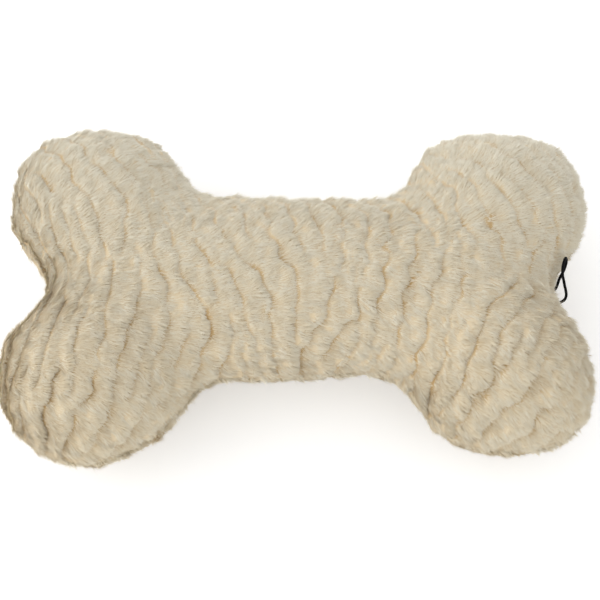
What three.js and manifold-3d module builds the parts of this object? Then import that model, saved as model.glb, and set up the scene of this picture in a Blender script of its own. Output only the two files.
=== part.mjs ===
// Squeaky dog toy: a stuffed plush bone with a squeaker inside and a hanging loop in its seam.
// Millimetres, +Z up. The toy lies flat on its four knobs at z = 0, centred on the origin, with its length along X.

import * as THREE from 'three';
import { mergeVertices } from 'three/addons/utils/BufferGeometryUtils.js';
import Module from 'manifold-3d';

const wasm = await Module();
wasm.setup();

// Stuffed form
const LENGTH = 300;
const WIDTH = 183;
const KNOB_RADIUS = 46.5;
const KNOB_HALF_HEIGHT = 42.5;
const SHAFT_HALF_WIDTH = 49.5;
const SHAFT_HALF_HEIGHT = 37;
const SHAFT_LAP = 33; // from a knob's centre back to where the shaft begins to round off
const SHAFT_END = 47; // length of the shaft's rounded end
const BLEND = 570; // softness of the dips between shaft and knobs, in square millimetres
const REST_FLAT = 0.5; // depth of the flat that each knob rests on

// Fur cover and its seam
const PILE = 6;
const BACKING = 1;
const SEAM_ALLOWANCE = 7;
const ALLOWANCE_THICKNESS = 1.5;
const SEAM_GAP = 0.3;
const STITCH_INSET = 2.5;
const THREAD_DIAMETER = 0.6;

// Fibre fill
const FILL_GAP = 0.4;
const FILL_CUT = 19.5; // from a knob's centre to the cut between its fill and the shaft's
const FILL_CUT_TURN = 53; // degrees from X of the line square to that cut

// Squeaker
const BULB_RADIUS = 25;
const BULB_HALF_HEIGHT = 13;
const BULB_WALL = 1.2;
const BULB_CROWN_RADIUS = 7;
const BULB_RIM = 1.2;
const BULB_RIM_HALF_HEIGHT = 0.8;
const NECK_DEPTH = 3;
const SLEEVE_RADIUS = 3.6;
const SLEEVE_WALL = 0.7;
const SLEEVE_LENGTH = 12;
const SLEEVE_BEAD = 0.6;
const FLANGE_RADIUS = 5.4;
const FLANGE_THICKNESS = 0.9;
const HEAD_LENGTH = 3;
const BED_LENGTH = 9;
const AIR_CHANNEL_WIDTH = 1.4;
const AIR_CHANNEL_DEPTH = 1;
const REED_WIDTH = 3.4;
const REED_THICKNESS = 0.25;
const REED_LENGTH = 7;
const REED_ROOT = 1.5;
const REED_LIFT = 0.65; // from the reed down to the bed's flat

// Hanging loop
const CORD_DIAMETER = 1.5;
const LOOP_Y = -3.4;
const LOOP_SPREAD = 6.8;
const KNOT_RADIUS = 2.3;

// Shared clearance and facet counts
const FIT_GAP = 0.3;
const SPINE_STEPS = 7;
const FORK_STEPS = 3;
const FAN_STEPS = 8;
const OUTER_RINGS = 6;
const INNER_RINGS = 4;
const FAN_END = -30; // degrees
const THREAD_SIDES = 5;
const BULB_SIDES = 28;
const SLEEVE_SIDES = 24;
const CORD_SIDES = 8;

// Places that follow from the sizes above
const COVER = PILE + BACKING;
const FILL_INSET = COVER + FILL_GAP;
const KNOB_X = LENGTH / 2 - KNOB_RADIUS;
const KNOB_Y = WIDTH / 2 - KNOB_RADIUS;
const SHAFT_STRAIGHT = KNOB_X - SHAFT_LAP;
const FORK_X = KNOB_X - KNOB_RADIUS / 2;
const SEAM_Z = KNOB_HALF_HEIGHT - REST_FLAT;
const BED_RADIUS = SLEEVE_RADIUS - SLEEVE_WALL - FIT_GAP;
const SIDES = [1, -1];
const FAR = 2 * (LENGTH + WIDTH);

// Square of the stuffed form's half height at a plan point, negative outside its outline.
// The inset draws the whole form in, as each layer under the cover needs.
function level(x, y, inset) {
  const shaftHeight = SHAFT_HALF_HEIGHT - inset;
  const knobHeight = KNOB_HALF_HEIGHT - inset;
  const past = Math.max(Math.abs(x) - SHAFT_STRAIGHT, 0) / (SHAFT_END - inset);
  const across = y / (SHAFT_HALF_WIDTH - inset);
  const lumps = [shaftHeight ** 2 * (1 - across ** 2 - past ** 2)];
  for (const sx of SIDES) {
    for (const sy of SIDES) {
      const away = Math.hypot(x - sx * KNOB_X, y - sy * KNOB_Y) / (KNOB_RADIUS - inset);
      lumps.push(knobHeight ** 2 * (1 - away ** 2));
    }
  }
  const softness = (BLEND * knobHeight) / KNOB_HALF_HEIGHT;
  const top = Math.max(...lumps);
  let sum = 0;
  for (const lump of lumps) {
    sum += Math.exp((lump - top) / softness);
  }
  return top + softness * Math.log(sum);
}

function halfHeight(x, y, inset) {
  return Math.sqrt(Math.max(level(x, y, inset), 0));
}

// Distance from a point inside the form to its outline along a plan direction.
function reachFrom(x, y, angle, inset) {
  const dx = Math.cos(angle);
  const dy = Math.sin(angle);
  let near = 0;
  let far = LENGTH / 2;
  for (let i = 0; i < 48; i += 1) {
    const middle = (near + far) / 2;
    if (level(x + dx * middle, y + dy * middle, inset) > 0) {
      near = middle;
    } else {
      far = middle;
    }
  }
  return near;
}

// Rays of one quarter, from the middle of the shaft's side round the knob to the notch at the end.
// They start on the form's skeleton: its spine, then the fork out to the knob's centre and back.
function quarterRays() {
  const rays = [];
  const upward = Math.PI / 2;
  const fanEnd = THREE.MathUtils.degToRad(FAN_END);
  for (let i = 0; i <= SPINE_STEPS; i += 1) {
    rays.push({ x: (FORK_X * i) / SPINE_STEPS, y: 0, angle: upward });
  }
  for (let i = 1; i <= FORK_STEPS; i += 1) {
    const t = i / FORK_STEPS;
    rays.push({ x: THREE.MathUtils.lerp(FORK_X, KNOB_X, t), y: KNOB_Y * t, angle: upward });
  }
  for (let i = 1; i <= FAN_STEPS; i += 1) {
    const angle = THREE.MathUtils.lerp(upward, fanEnd, i / FAN_STEPS);
    rays.push({ x: KNOB_X, y: KNOB_Y, angle });
  }
  for (let i = 1; i <= FORK_STEPS; i += 1) {
    const t = 1 - i / FORK_STEPS;
    rays.push({ x: THREE.MathUtils.lerp(FORK_X, KNOB_X, t), y: KNOB_Y * t, angle: fanEnd * t });
  }
  return rays;
}

// The quarter's rays mirrored into one unbroken turn round the bone.
function allRays() {
  const quarter = quarterRays();
  const last = quarter.length - 1;
  const turn = [];
  const add = (i, sx, sy) => turn.push({ ...quarter[i], sx, sy });
  for (let i = 0; i <= last; i += 1) {
    add(i, 1, 1);
  }
  for (let i = last - 1; i >= 0; i -= 1) {
    add(i, 1, -1);
  }
  for (let i = 1; i <= last; i += 1) {
    add(i, -1, -1);
  }
  for (let i = last - 1; i >= 1; i -= 1) {
    add(i, -1, 1);
  }
  return turn;
}

const RAYS = allRays();

// One ring of points round the bone: a share of the way from its skeleton to the inset outline.
function ring(inset, share, heightAt) {
  return RAYS.map((ray) => {
    const reach = reachFrom(ray.x, ray.y, ray.angle, inset) * share;
    const x = ray.sx * (ray.x + Math.cos(ray.angle) * reach);
    const y = ray.sy * (ray.y + Math.sin(ray.angle) * reach);
    return new THREE.Vector3(x, y, heightAt(x, y));
  });
}

// Merges equal points, drops triangles without area and turns the faces outwards.
function weld(geometry) {
  geometry.deleteAttribute('normal');
  geometry.deleteAttribute('uv');
  const merged = mergeVertices(geometry, 1e-4);
  const position = merged.getAttribute('position');
  const source = merged.getIndex().array;
  const corner = [new THREE.Vector3(), new THREE.Vector3(), new THREE.Vector3()];
  const kept = [];
  let volume = 0;
  for (let i = 0; i < source.length; i += 3) {
    const [a, b, c] = [source[i], source[i + 1], source[i + 2]];
    if (a !== b && b !== c && c !== a) {
      kept.push(a, b, c);
      corner.forEach((point, k) => point.fromBufferAttribute(position, source[i + k]));
      volume += corner[0].dot(corner[1].cross(corner[2]));
    }
  }
  if (volume < 0) {
    kept.reverse();
  }
  merged.setIndex(kept);
  return merged;
}

// Skin over rows of points, each row a closed turn, with each quad split along its shorter diagonal.
// A ringed skin also joins its last row to its first.
function loft(rows, ringed) {
  const points = rows.flat();
  const count = rows[0].length;
  const spans = ringed ? rows.length : rows.length - 1;
  const index = [];
  for (let row = 0; row < spans; row += 1) {
    const here = row * count;
    const next = ((row + 1) % rows.length) * count;
    for (let i = 0; i < count; i += 1) {
      const j = (i + 1) % count;
      const rising = points[here + i].distanceTo(points[next + j]);
      const falling = points[here + j].distanceTo(points[next + i]);
      if (rising < falling) {
        index.push(here + i, here + j, next + j, here + i, next + j, next + i);
      } else {
        index.push(here + i, here + j, next + i, here + j, next + j, next + i);
      }
    }
  }
  const geometry = new THREE.BufferGeometry().setFromPoints(points);
  geometry.setIndex(index);
  return weld(geometry);
}

function solid(geometry) {
  const welded = geometry.getAttribute('normal') ? weld(geometry) : geometry;
  const vertProperties = new Float32Array(welded.getAttribute('position').array);
  const triVerts = new Uint32Array(welded.getIndex().array);
  return new wasm.Manifold(new wasm.Mesh({ numProp: 3, vertProperties, triVerts }));
}

function surface(body) {
  const mesh = body.getMesh();
  const geometry = new THREE.BufferGeometry();
  geometry.setAttribute('position', new THREE.BufferAttribute(mesh.vertProperties, 3));
  geometry.setIndex(new THREE.BufferAttribute(mesh.triVerts, 1));
  geometry.computeVertexNormals();
  return geometry;
}

function box(x, y, z, width, depth, height) {
  return solid(new THREE.BoxGeometry(width, depth, height).translate(x, y, z));
}

function lathe(profile, sides) {
  const points = profile.map(([r, z]) => new THREE.Vector2(r, z));
  return weld(new THREE.LatheGeometry(points, sides).rotateX(Math.PI / 2));
}

function disc(radius, sides) {
  const shape = new THREE.Shape();
  for (let i = 0; i < sides; i += 1) {
    const angle = (2 * Math.PI * i) / sides;
    const step = i === 0 ? 'moveTo' : 'lineTo';
    shape[step](radius * Math.cos(angle), radius * Math.sin(angle));
  }
  return shape;
}

function tube(curve, diameter, steps) {
  const settings = { steps, bevelEnabled: false, extrudePath: curve };
  return weld(new THREE.ExtrudeGeometry(disc(diameter / 2, CORD_SIDES), settings));
}

// Section of a fur panel, from its crown down the outside to the seam,
// in along the seam allowance and back up the inside. Heights are from the seam plane.
function furPanel(side) {
  const seam = SEAM_GAP / 2;
  const fold = seam + ALLOWANCE_THICKNESS;
  const place = (height) => SEAM_Z + side * height;
  const rows = [];
  for (let i = 0; i <= OUTER_RINGS; i += 1) {
    const share = Math.sin((Math.PI / 2) * (i / OUTER_RINGS));
    rows.push(ring(0, share, (x, y) => place(seam + (i < OUTER_RINGS ? halfHeight(x, y, 0) : 0))));
  }
  rows.push(ring(COVER + SEAM_ALLOWANCE, 1, () => place(seam)));
  rows.push(ring(COVER + SEAM_ALLOWANCE, 1, () => place(fold)));
  rows.push(ring(COVER, 1, () => place(fold)));
  for (let i = INNER_RINGS - 1; i >= 0; i -= 1) {
    const share = Math.sin((Math.PI / 2) * (i / INNER_RINGS));
    rows.push(ring(COVER, share, (x, y) => place(seam + halfHeight(x, y, COVER))));
  }
  return solid(loft(rows, false));
}

// Thread lying on the allowance's face along the stitch line, right round the seam.
function seamThread(side) {
  const radius = THREAD_DIAMETER / 2;
  const middle = SEAM_GAP / 2 + ALLOWANCE_THICKNESS + FIT_GAP + radius;
  const rows = [];
  for (let i = 0; i < THREAD_SIDES; i += 1) {
    const angle = (2 * Math.PI * i) / THREAD_SIDES;
    const height = middle + radius * Math.sin(angle);
    const inset = COVER + STITCH_INSET + radius * Math.cos(angle);
    rows.push(ring(inset, 1, () => SEAM_Z + side * height));
  }
  return loft(rows, true);
}

// The whole stuffing before it is parted, grooved round its edge for the seam allowance and threads.
function fillCore() {
  const rows = [];
  for (let i = 0; i <= 2 * INNER_RINGS; i += 1) {
    const share = Math.sin((Math.PI / 2) * (i / INNER_RINGS));
    const side = i < INNER_RINGS ? 1 : -1;
    const rim = i === INNER_RINGS;
    rows.push(ring(FILL_INSET, Math.abs(share), (x, y) => {
      return SEAM_Z + (rim ? 0 : side * halfHeight(x, y, FILL_INSET));
    }));
  }
  const half = SEAM_GAP / 2 + ALLOWANCE_THICKNESS + THREAD_DIAMETER + 2 * FIT_GAP;
  const groove = [
    ring(COVER - 1, 1, () => SEAM_Z - half),
    ring(FILL_INSET + SEAM_ALLOWANCE, 1, () => SEAM_Z - half),
    ring(FILL_INSET + SEAM_ALLOWANCE, 1, () => SEAM_Z + half),
    ring(COVER - 1, 1, () => SEAM_Z + half),
  ];
  return solid(loft(rows, false)).subtract(solid(loft(groove, true)));
}

// Space on a knob's side of the cut between its fill and the shaft's fill.
function knobSide(sx, sy, back) {
  const turn = THREE.MathUtils.degToRad(FILL_CUT_TURN);
  const reach = FAR / 2 - FILL_CUT + back;
  const geometry = new THREE.BoxGeometry(FAR, FAR, FAR);
  geometry.rotateZ(sx * sy * turn);
  const x = sx * (KNOB_X + Math.cos(turn) * reach);
  const y = sy * (KNOB_Y + Math.sin(turn) * reach);
  return solid(geometry.translate(x, y, SEAM_Z));
}

// Quarter of the bulb's outline from its rim to its flat crown.
function bulbCurve(draw, count, from) {
  const radius = BULB_RADIUS - draw - BULB_CROWN_RADIUS;
  const height = BULB_HALF_HEIGHT - draw;
  const start = Math.asin(from / height);
  const points = [];
  for (let i = 0; i <= count; i += 1) {
    const angle = THREE.MathUtils.lerp(start, Math.PI / 2, i / count);
    points.push([BULB_CROWN_RADIUS + radius * Math.cos(angle), height * Math.sin(angle)]);
  }
  return points;
}

const below = (points) => points.map(([r, z]) => [r, -z]).reverse();

// Hollow blow-moulded disc with a rim round its waist and a necked hole in its crown.
function bulb() {
  const hole = SLEEVE_RADIUS + FIT_GAP;
  const roof = BULB_HALF_HEIGHT - BULB_WALL;
  const inner = bulbCurve(BULB_WALL, 5, 0);
  const outer = bulbCurve(0, 5, BULB_RIM_HALF_HEIGHT);
  const rim = BULB_RADIUS + BULB_RIM;
  const profile = [
    [0, -roof],
    ...below(inner),
    ...inner.slice(1),
    [hole + BULB_WALL, roof],
    [hole + BULB_WALL, roof - NECK_DEPTH],
    [hole, roof - NECK_DEPTH],
    [hole, BULB_HALF_HEIGHT],
    ...outer.slice().reverse(),
    [rim, BULB_RIM_HALF_HEIGHT],
    [rim, -BULB_RIM_HALF_HEIGHT],
    ...below(outer).reverse(),
    [0, -BULB_HALF_HEIGHT],
  ];
  return lathe(profile, BULB_SIDES);
}

// Room in the shaft's fill for the bulb and the flange on its crown.
function bulbPocket() {
  const top = BULB_HALF_HEIGHT + FILL_GAP;
  const rim = BULB_RADIUS + BULB_RIM + FILL_GAP;
  const well = top + FIT_GAP + FLANGE_THICKNESS;
  const grown = bulbCurve(-FILL_GAP, 5, BULB_RIM_HALF_HEIGHT + FILL_GAP);
  const profile = [
    [0, -top],
    ...below(grown),
    [rim, -BULB_RIM_HALF_HEIGHT - FILL_GAP],
    [rim, BULB_RIM_HALF_HEIGHT + FILL_GAP],
    ...grown.slice(0, -1),
    [FLANGE_RADIUS + FILL_GAP, top],
    [FLANGE_RADIUS + FILL_GAP, well],
    [0, well],
  ];
  return solid(lathe(profile, BULB_SIDES).translate(0, 0, SEAM_Z));
}

// Flanged tube with a bead that snaps in under the bulb's neck. Heights are from the bulb's crown.
function sleeve() {
  const bore = SLEEVE_RADIUS - SLEEVE_WALL;
  const seat = FIT_GAP;
  const bead = -BULB_WALL - NECK_DEPTH - FIT_GAP;
  const profile = [
    [bore, seat + FLANGE_THICKNESS],
    [FLANGE_RADIUS, seat + FLANGE_THICKNESS],
    [FLANGE_RADIUS, seat],
    [SLEEVE_RADIUS, seat],
    [SLEEVE_RADIUS, bead],
    [SLEEVE_RADIUS + SLEEVE_BEAD, bead],
    [SLEEVE_RADIUS, bead - 2 * SLEEVE_BEAD],
    [SLEEVE_RADIUS, seat - SLEEVE_LENGTH],
    [bore, seat - SLEEVE_LENGTH],
    [bore, seat + FLANGE_THICKNESS],
  ];
  return lathe(profile, SLEEVE_SIDES);
}

const HEAD_TOP = FIT_GAP + FLANGE_THICKNESS;
const HEAD_BOTTOM = HEAD_TOP - HEAD_LENGTH;
const BED_FLAT = -REED_THICKNESS / 2 - REED_LIFT;

// Round head that grips the reed, with a half-round bed and an air channel running down from it.
function reedBed() {
  const round = new THREE.CylinderGeometry(BED_RADIUS, BED_RADIUS, HEAD_LENGTH, SLEEVE_SIDES);
  round.rotateX(Math.PI / 2).translate(0, 0, (HEAD_TOP + HEAD_BOTTOM) / 2);
  const long = new THREE.CylinderGeometry(BED_RADIUS, BED_RADIUS, BED_LENGTH, SLEEVE_SIDES);
  long.rotateX(Math.PI / 2).translate(0, 0, HEAD_TOP - BED_LENGTH / 2);
  const front = box(0, BED_FLAT + BED_RADIUS, HEAD_TOP, 4 * BED_RADIUS, 2 * BED_RADIUS, 4 * BED_LENGTH);
  const slotDepth = REED_THICKNESS + 2 * FIT_GAP;
  const slotHeight = REED_ROOT + FIT_GAP;
  const slot = box(0, 0, HEAD_BOTTOM, REED_WIDTH + 2 * FIT_GAP, slotDepth, 2 * slotHeight);
  const channelDepth = AIR_CHANNEL_DEPTH + REED_LIFT;
  const channelY = BED_FLAT - AIR_CHANNEL_DEPTH + channelDepth / 2;
  const channel = box(0, channelY, HEAD_TOP, AIR_CHANNEL_WIDTH, channelDepth, 4 * BED_LENGTH);
  const body = solid(long).subtract(front).add(solid(round));
  return surface(body.subtract(slot).subtract(channel));
}

// Thin tongue with a round tip, hanging down from the slot in the bed's head.
function reed() {
  const half = REED_WIDTH / 2;
  const root = HEAD_BOTTOM + REED_ROOT;
  const shape = new THREE.Shape();
  shape.moveTo(half, root);
  shape.lineTo(-half, root);
  shape.lineTo(-half, root - REED_LENGTH + half);
  shape.absarc(0, root - REED_LENGTH + half, half, Math.PI, 2 * Math.PI);
  shape.closePath();
  const settings = { depth: REED_THICKNESS, bevelEnabled: false, curveSegments: 8 };
  const geometry = new THREE.ExtrudeGeometry(shape, settings);
  return weld(geometry.rotateX(Math.PI / 2).translate(0, REED_THICKNESS / 2, 0));
}

// X of an inset outline in the right-hand notch.
function notchX(y, inset) {
  return FORK_X + reachFrom(FORK_X, y, 0, inset);
}

const LEG_YS = SIDES.map((side) => LOOP_Y + (side * LOOP_SPREAD) / 2);
const KNOT_REACH = 1.5 * KNOT_RADIUS;
const KNOT_X = notchX(LOOP_Y, COVER + SEAM_ALLOWANCE) - FIT_GAP - CORD_DIAMETER / 2 - KNOT_REACH;

// Opening through the seam for the loop's two tails.
function tailSlot() {
  const width = LOOP_SPREAD + CORD_DIAMETER + 2 * FIT_GAP;
  const length = 2 * (notchX(LOOP_Y, 0) - KNOT_X);
  return box(KNOT_X + length / 2, LOOP_Y, SEAM_Z, length, width, CORD_DIAMETER + 2 * FIT_GAP);
}

// The loop's tails run in through the seam to one overhand knot, too thick to pull back out.
function loopKnot() {
  const knot = new THREE.TorusKnotGeometry(KNOT_RADIUS, CORD_DIAMETER / 2, 48, 6, 2, 3);
  let body = solid(knot.translate(KNOT_X, LOOP_Y, SEAM_Z));
  const meeting = new THREE.Vector3(KNOT_X + KNOT_REACH, LOOP_Y, SEAM_Z);
  for (const y of LEG_YS) {
    const exit = new THREE.Vector3(notchX(y, 0) - 2 * FIT_GAP, y, SEAM_Z);
    body = body.add(solid(tube(new THREE.LineCurve3(exit, meeting), CORD_DIAMETER, 1)));
  }
  return surface(body);
}

function knotPocket() {
  const radius = (KNOT_REACH + CORD_DIAMETER / 2 + FILL_GAP) / Math.cos(Math.PI / 10);
  return solid(new THREE.SphereGeometry(radius, 20, 10).translate(KNOT_X, LOOP_Y, SEAM_Z));
}

// Free part of the loop, from its front leg up over one twist and back down to its rear leg.
// Points are steps from the notch in the seam.
function loopCurve() {
  const steps = [
    [3.8, -6.4, 0.3],
    [4.8, -5.9, 0.9],
    [5.6, -5, 1.9],
    [5.8, -3.8, 3.3],
    [5.3, -2.2, 5.4],
    [4.5, -0.5, 7.5],
    [3.8, 1.1, 9.8],
    [3, 2.8, 12.1],
    [2.7, 4.6, 14.2],
    [2.8, 6.6, 15.9],
    [3.4, 8.9, 16.3],
    [4.3, 11, 15.4],
    [5.2, 12.1, 13.4],
    [5.7, 11.6, 11.1],
    [5.5, 10, 9.3],
    [4.7, 7.9, 8.1],
    [3.4, 5.7, 7],
    [2.3, 3.7, 5.8],
    [1.7, 2, 4.2],
    [1.2, 0.8, 2.3],
  ];
  const origin = new THREE.Vector3(notchX(0, 0), 0, SEAM_Z);
  const [rearY, frontY] = LEG_YS;
  const front = new THREE.Vector3(notchX(frontY, 0) + FIT_GAP, frontY, SEAM_Z);
  const rear = new THREE.Vector3(notchX(rearY, 0) + FIT_GAP, rearY, SEAM_Z);
  const points = steps.map((step) => new THREE.Vector3(...step).add(origin));
  return new THREE.CatmullRomCurve3([front, ...points, rear]);
}

// Least gap of a cord to itself, between stretches more than four diameters apart along it.
function leastGap(curve, diameter) {
  const points = curve.getSpacedPoints(200);
  const skip = Math.ceil((4 * diameter) / (curve.getLength() / 200));
  let least = Infinity;
  for (let i = 0; i < points.length; i += 1) {
    for (let j = i + skip; j < points.length; j += 1) {
      least = Math.min(least, points[i].distanceTo(points[j]));
    }
  }
  return least - diameter;
}

const LOOP_CURVE = loopCurve();
console.log(`hang loop: ${LOOP_CURVE.getLength().toFixed(1)} mm long,`
  + ` least gap to itself ${leastGap(LOOP_CURVE, CORD_DIAMETER).toFixed(2)} mm`);

// Upper and lower shaft fills, and one fill in each knob.
function fills() {
  const core = fillCore().subtract(knotPocket()).subtract(tailSlot());
  let shaft = core;
  const found = [];
  for (const sx of SIDES) {
    for (const sy of SIDES) {
      const name = `knob_fill_${sy > 0 ? 'rear' : 'front'}_${sx > 0 ? 'right' : 'left'}`;
      const ownHalf = box(0, (sy * (FAR + FILL_GAP)) / 2, SEAM_Z, 2 * FAR, FAR, FAR);
      found.push([name, surface(core.intersect(knobSide(sx, sy, FILL_GAP / 2)).intersect(ownHalf))]);
      shaft = shaft.subtract(knobSide(sx, sy, -FILL_GAP / 2));
    }
  }
  shaft = shaft.subtract(bulbPocket());
  const cut = (FAR + FILL_GAP) / 2;
  found.push(['shaft_fill_upper', surface(shaft.subtract(box(0, 0, SEAM_Z + FILL_GAP - cut, FAR, FAR, FAR)))]);
  found.push(['shaft_fill_lower', surface(shaft.subtract(box(0, 0, SEAM_Z - FILL_GAP + cut, FAR, FAR, FAR)))]);
  return found;
}

const FUR = { color: 0xcabfa5, roughness: 0.95, metalness: 0 };
const FIBRE = { color: 0xf1efe9, roughness: 1, metalness: 0 };
const THREAD = { color: 0xd8ccb0, roughness: 0.8, metalness: 0 };
const CORD = { color: 0x17171a, roughness: 0.75, metalness: 0 };
const SOFT_PLASTIC = { color: 0xe9e6da, roughness: 0.45, metalness: 0 };
const HARD_PLASTIC = { color: 0xf2f2ee, roughness: 0.35, metalness: 0 };
const FILM = { color: 0xc9d4dc, roughness: 0.25, metalness: 0 };

function piece(group, name, geometry, finish) {
  if (!geometry.getAttribute('normal')) {
    geometry.computeVertexNormals();
  }
  const mesh = new THREE.Mesh(geometry, new THREE.MeshStandardMaterial(finish));
  mesh.name = name;
  group.add(mesh);
}

const toy = new THREE.Group();
const cover = new THREE.Group();
const stuffing = new THREE.Group();
const squeaker = new THREE.Group();
const insert = new THREE.Group();
squeaker.position.z = SEAM_Z;
insert.position.z = BULB_HALF_HEIGHT;
squeaker.add(insert);
toy.add(cover, stuffing, squeaker);

const floor = box(0, 0, -FAR / 2, FAR, FAR, FAR);
piece(cover, 'top_fur_panel', surface(furPanel(1).subtract(tailSlot())), FUR);
piece(cover, 'bottom_fur_panel', surface(furPanel(-1).subtract(tailSlot()).subtract(floor)), FUR);
piece(cover, 'needle_thread', seamThread(1), THREAD);
piece(cover, 'bobbin_thread', seamThread(-1), THREAD);
piece(cover, 'hang_loop_knot', loopKnot(), CORD);
piece(cover, 'hang_loop', tube(LOOP_CURVE, CORD_DIAMETER, 24), CORD);
for (const [name, geometry] of fills()) {
  piece(stuffing, name, geometry, FIBRE);
}
piece(squeaker, 'squeaker_bulb', bulb(), SOFT_PLASTIC);
piece(insert, 'reed_sleeve', sleeve(), HARD_PLASTIC);
piece(insert, 'reed_bed', reedBed(), HARD_PLASTIC);
piece(insert, 'reed', reed(), FILM);

export default toy;
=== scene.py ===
"""Looks of a squeaky plush bone: its carved fur, stuffing and squeaker, and the loop it hangs by."""

import logging
import math
from dataclasses import dataclass
from enum import Enum

import bmesh
import bpy
import numpy as np
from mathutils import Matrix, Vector
from mathutils.kdtree import KDTree


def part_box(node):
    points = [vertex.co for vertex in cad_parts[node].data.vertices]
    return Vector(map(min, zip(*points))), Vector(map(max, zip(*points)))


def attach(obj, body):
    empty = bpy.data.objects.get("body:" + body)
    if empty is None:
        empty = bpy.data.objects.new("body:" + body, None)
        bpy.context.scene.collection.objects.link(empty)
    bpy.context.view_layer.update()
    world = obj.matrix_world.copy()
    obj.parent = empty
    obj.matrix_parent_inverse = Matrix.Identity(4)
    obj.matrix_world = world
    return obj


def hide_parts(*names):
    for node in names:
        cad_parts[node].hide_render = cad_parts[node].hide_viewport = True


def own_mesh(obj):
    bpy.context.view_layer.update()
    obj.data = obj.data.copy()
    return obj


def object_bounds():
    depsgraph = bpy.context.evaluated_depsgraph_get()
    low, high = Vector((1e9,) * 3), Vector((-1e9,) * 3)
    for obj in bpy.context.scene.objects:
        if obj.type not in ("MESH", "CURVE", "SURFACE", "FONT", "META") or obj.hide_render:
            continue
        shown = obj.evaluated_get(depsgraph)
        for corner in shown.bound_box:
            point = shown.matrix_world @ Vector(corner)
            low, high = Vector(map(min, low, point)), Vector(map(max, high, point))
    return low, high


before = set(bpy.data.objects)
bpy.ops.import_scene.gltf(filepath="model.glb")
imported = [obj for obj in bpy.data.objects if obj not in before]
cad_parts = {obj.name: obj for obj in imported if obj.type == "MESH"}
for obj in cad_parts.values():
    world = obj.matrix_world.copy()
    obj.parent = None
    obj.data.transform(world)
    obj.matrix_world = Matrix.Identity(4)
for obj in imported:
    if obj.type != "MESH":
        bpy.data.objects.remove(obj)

CAD_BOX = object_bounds()
LOG = logging.getLogger("plush_bone")

MM = 0.001
TINY = 1e-12
MERGE = 0.01 * MM
SEED = 11
TOY = "toy"
BAKE_MAP = "OFBake"

TOP_PANEL = "top_fur_panel"
BOTTOM_PANEL = "bottom_fur_panel"
SHAFT_FILLS = ("shaft_fill_upper", "shaft_fill_lower")
KNOB_FILLS = tuple(
    f"knob_fill_{row}_{column}" for row in ("rear", "front") for column in ("left", "right")
)
SEAM_Z = (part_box(TOP_PANEL)[0].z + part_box(BOTTOM_PANEL)[1].z) / 2
NOTCH_X = 95 * MM
WARM_REACH = 42 * MM
UNSURE = 0.3
SURE = 0.7
WHITE = (1.0, 1.0, 1.0, 1.0)
MIX_FIRST = 6
MIX_SECOND = 7
MIX_RESULT = 2

Colour = tuple[float, float, float, float]
Place = tuple[float, float, float]


class Side(Enum):
    """The two fur panels of the cover."""

    TOP = 1
    BOTTOM = -1

    @property
    def word(self) -> str:
        """Name of the side as pieces use it."""
        return self.name.lower()


def srgb(red: int, green: int, blue: int) -> Colour:
    """Turns a colour of 0 to 255 on screen into a linear colour.

    Args:
        red: Red on screen.
        green: Green on screen.
        blue: Blue on screen.

    Returns:
        Linear red, green and blue, and an alpha of 1.
    """
    shares = np.array([red, green, blue]) / 255
    linear = np.where(shares <= 0.04045, shares / 12.92, ((shares + 0.055) / 1.055) ** 2.4)
    return (*linear.tolist(), 1.0)


def unit(vectors: np.ndarray) -> np.ndarray:
    """Scales each row to length 1."""
    return vectors / np.maximum(np.linalg.norm(vectors, axis=-1, keepdims=True), TINY)


def along_surface(vectors: np.ndarray, normals: np.ndarray) -> np.ndarray:
    """Takes out what points along the normals, and scales the rest to length 1."""
    return unit(vectors - normals * (vectors * normals).sum(1, keepdims=True))


def show(name: str, data: bpy.types.ID) -> bpy.types.Object:
    """Puts a mesh, curve, lamp or camera in the scene as a new object at the origin.

    Args:
        name: Name of the object.
        data: What it shows.

    Returns:
        The object.
    """
    piece = bpy.data.objects.new(name, data)
    bpy.context.scene.collection.objects.link(piece)
    return piece


def finished_mesh(piece: bpy.types.Object) -> bpy.types.Mesh:
    """Copies a piece's mesh with its modifiers applied.

    Args:
        piece: The piece, or a curve.

    Returns:
        The copy.
    """
    graph = bpy.context.evaluated_depsgraph_get()
    graph.update()
    return bpy.data.meshes.new_from_object(
        piece.evaluated_get(graph), preserve_all_data_layers=True, depsgraph=graph
    )


def apply_modifiers(piece: bpy.types.Object) -> None:
    """Turns a piece's modifiers into its own mesh.

    Args:
        piece: The piece.
    """
    mesh = finished_mesh(piece)
    piece.modifiers.clear()
    piece.data = mesh


def give_wall(piece: bpy.types.Object, thickness: float) -> None:
    """Thickens a skin inwards.

    Args:
        piece: The skin.
        thickness: Thickness of its new wall.
    """
    wall = piece.modifiers.new("wall", "SOLIDIFY")
    wall.thickness = thickness
    wall.offset = -1.0
    apply_modifiers(piece)


def rows_of(items: bpy.types.bpy_prop_collection, key: str, kind: type = np.float32) -> np.ndarray:
    """Reads three numbers of each item as a row.

    Args:
        items: A mesh's vertices, normals, triangles or values.
        key: Name of the numbers.
        kind: Their type.

    Returns:
        One row for each item.
    """
    flat = np.empty(len(items) * 3, kind)
    items.foreach_get(key, flat)
    return flat.reshape(-1, 3)


def points_of(mesh: bpy.types.Mesh) -> np.ndarray:
    """Reads a mesh's vertices as rows of x, y and z."""
    return rows_of(mesh.vertices, "co").astype(float)


def normals_of(mesh: bpy.types.Mesh) -> np.ndarray:
    """Reads a mesh's vertex normals as rows."""
    return rows_of(mesh.vertex_normals, "vector").astype(float)


def move_points(mesh: bpy.types.Mesh, points: np.ndarray) -> None:
    """Writes a mesh's vertices."""
    mesh.vertices.foreach_set("co", points.astype(np.float32).ravel())
    mesh.update()


def shade_smooth(mesh: bpy.types.Mesh) -> None:
    """Shades every face of a mesh smooth."""
    mesh.polygons.foreach_set("use_smooth", np.ones(len(mesh.polygons), bool))


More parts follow.
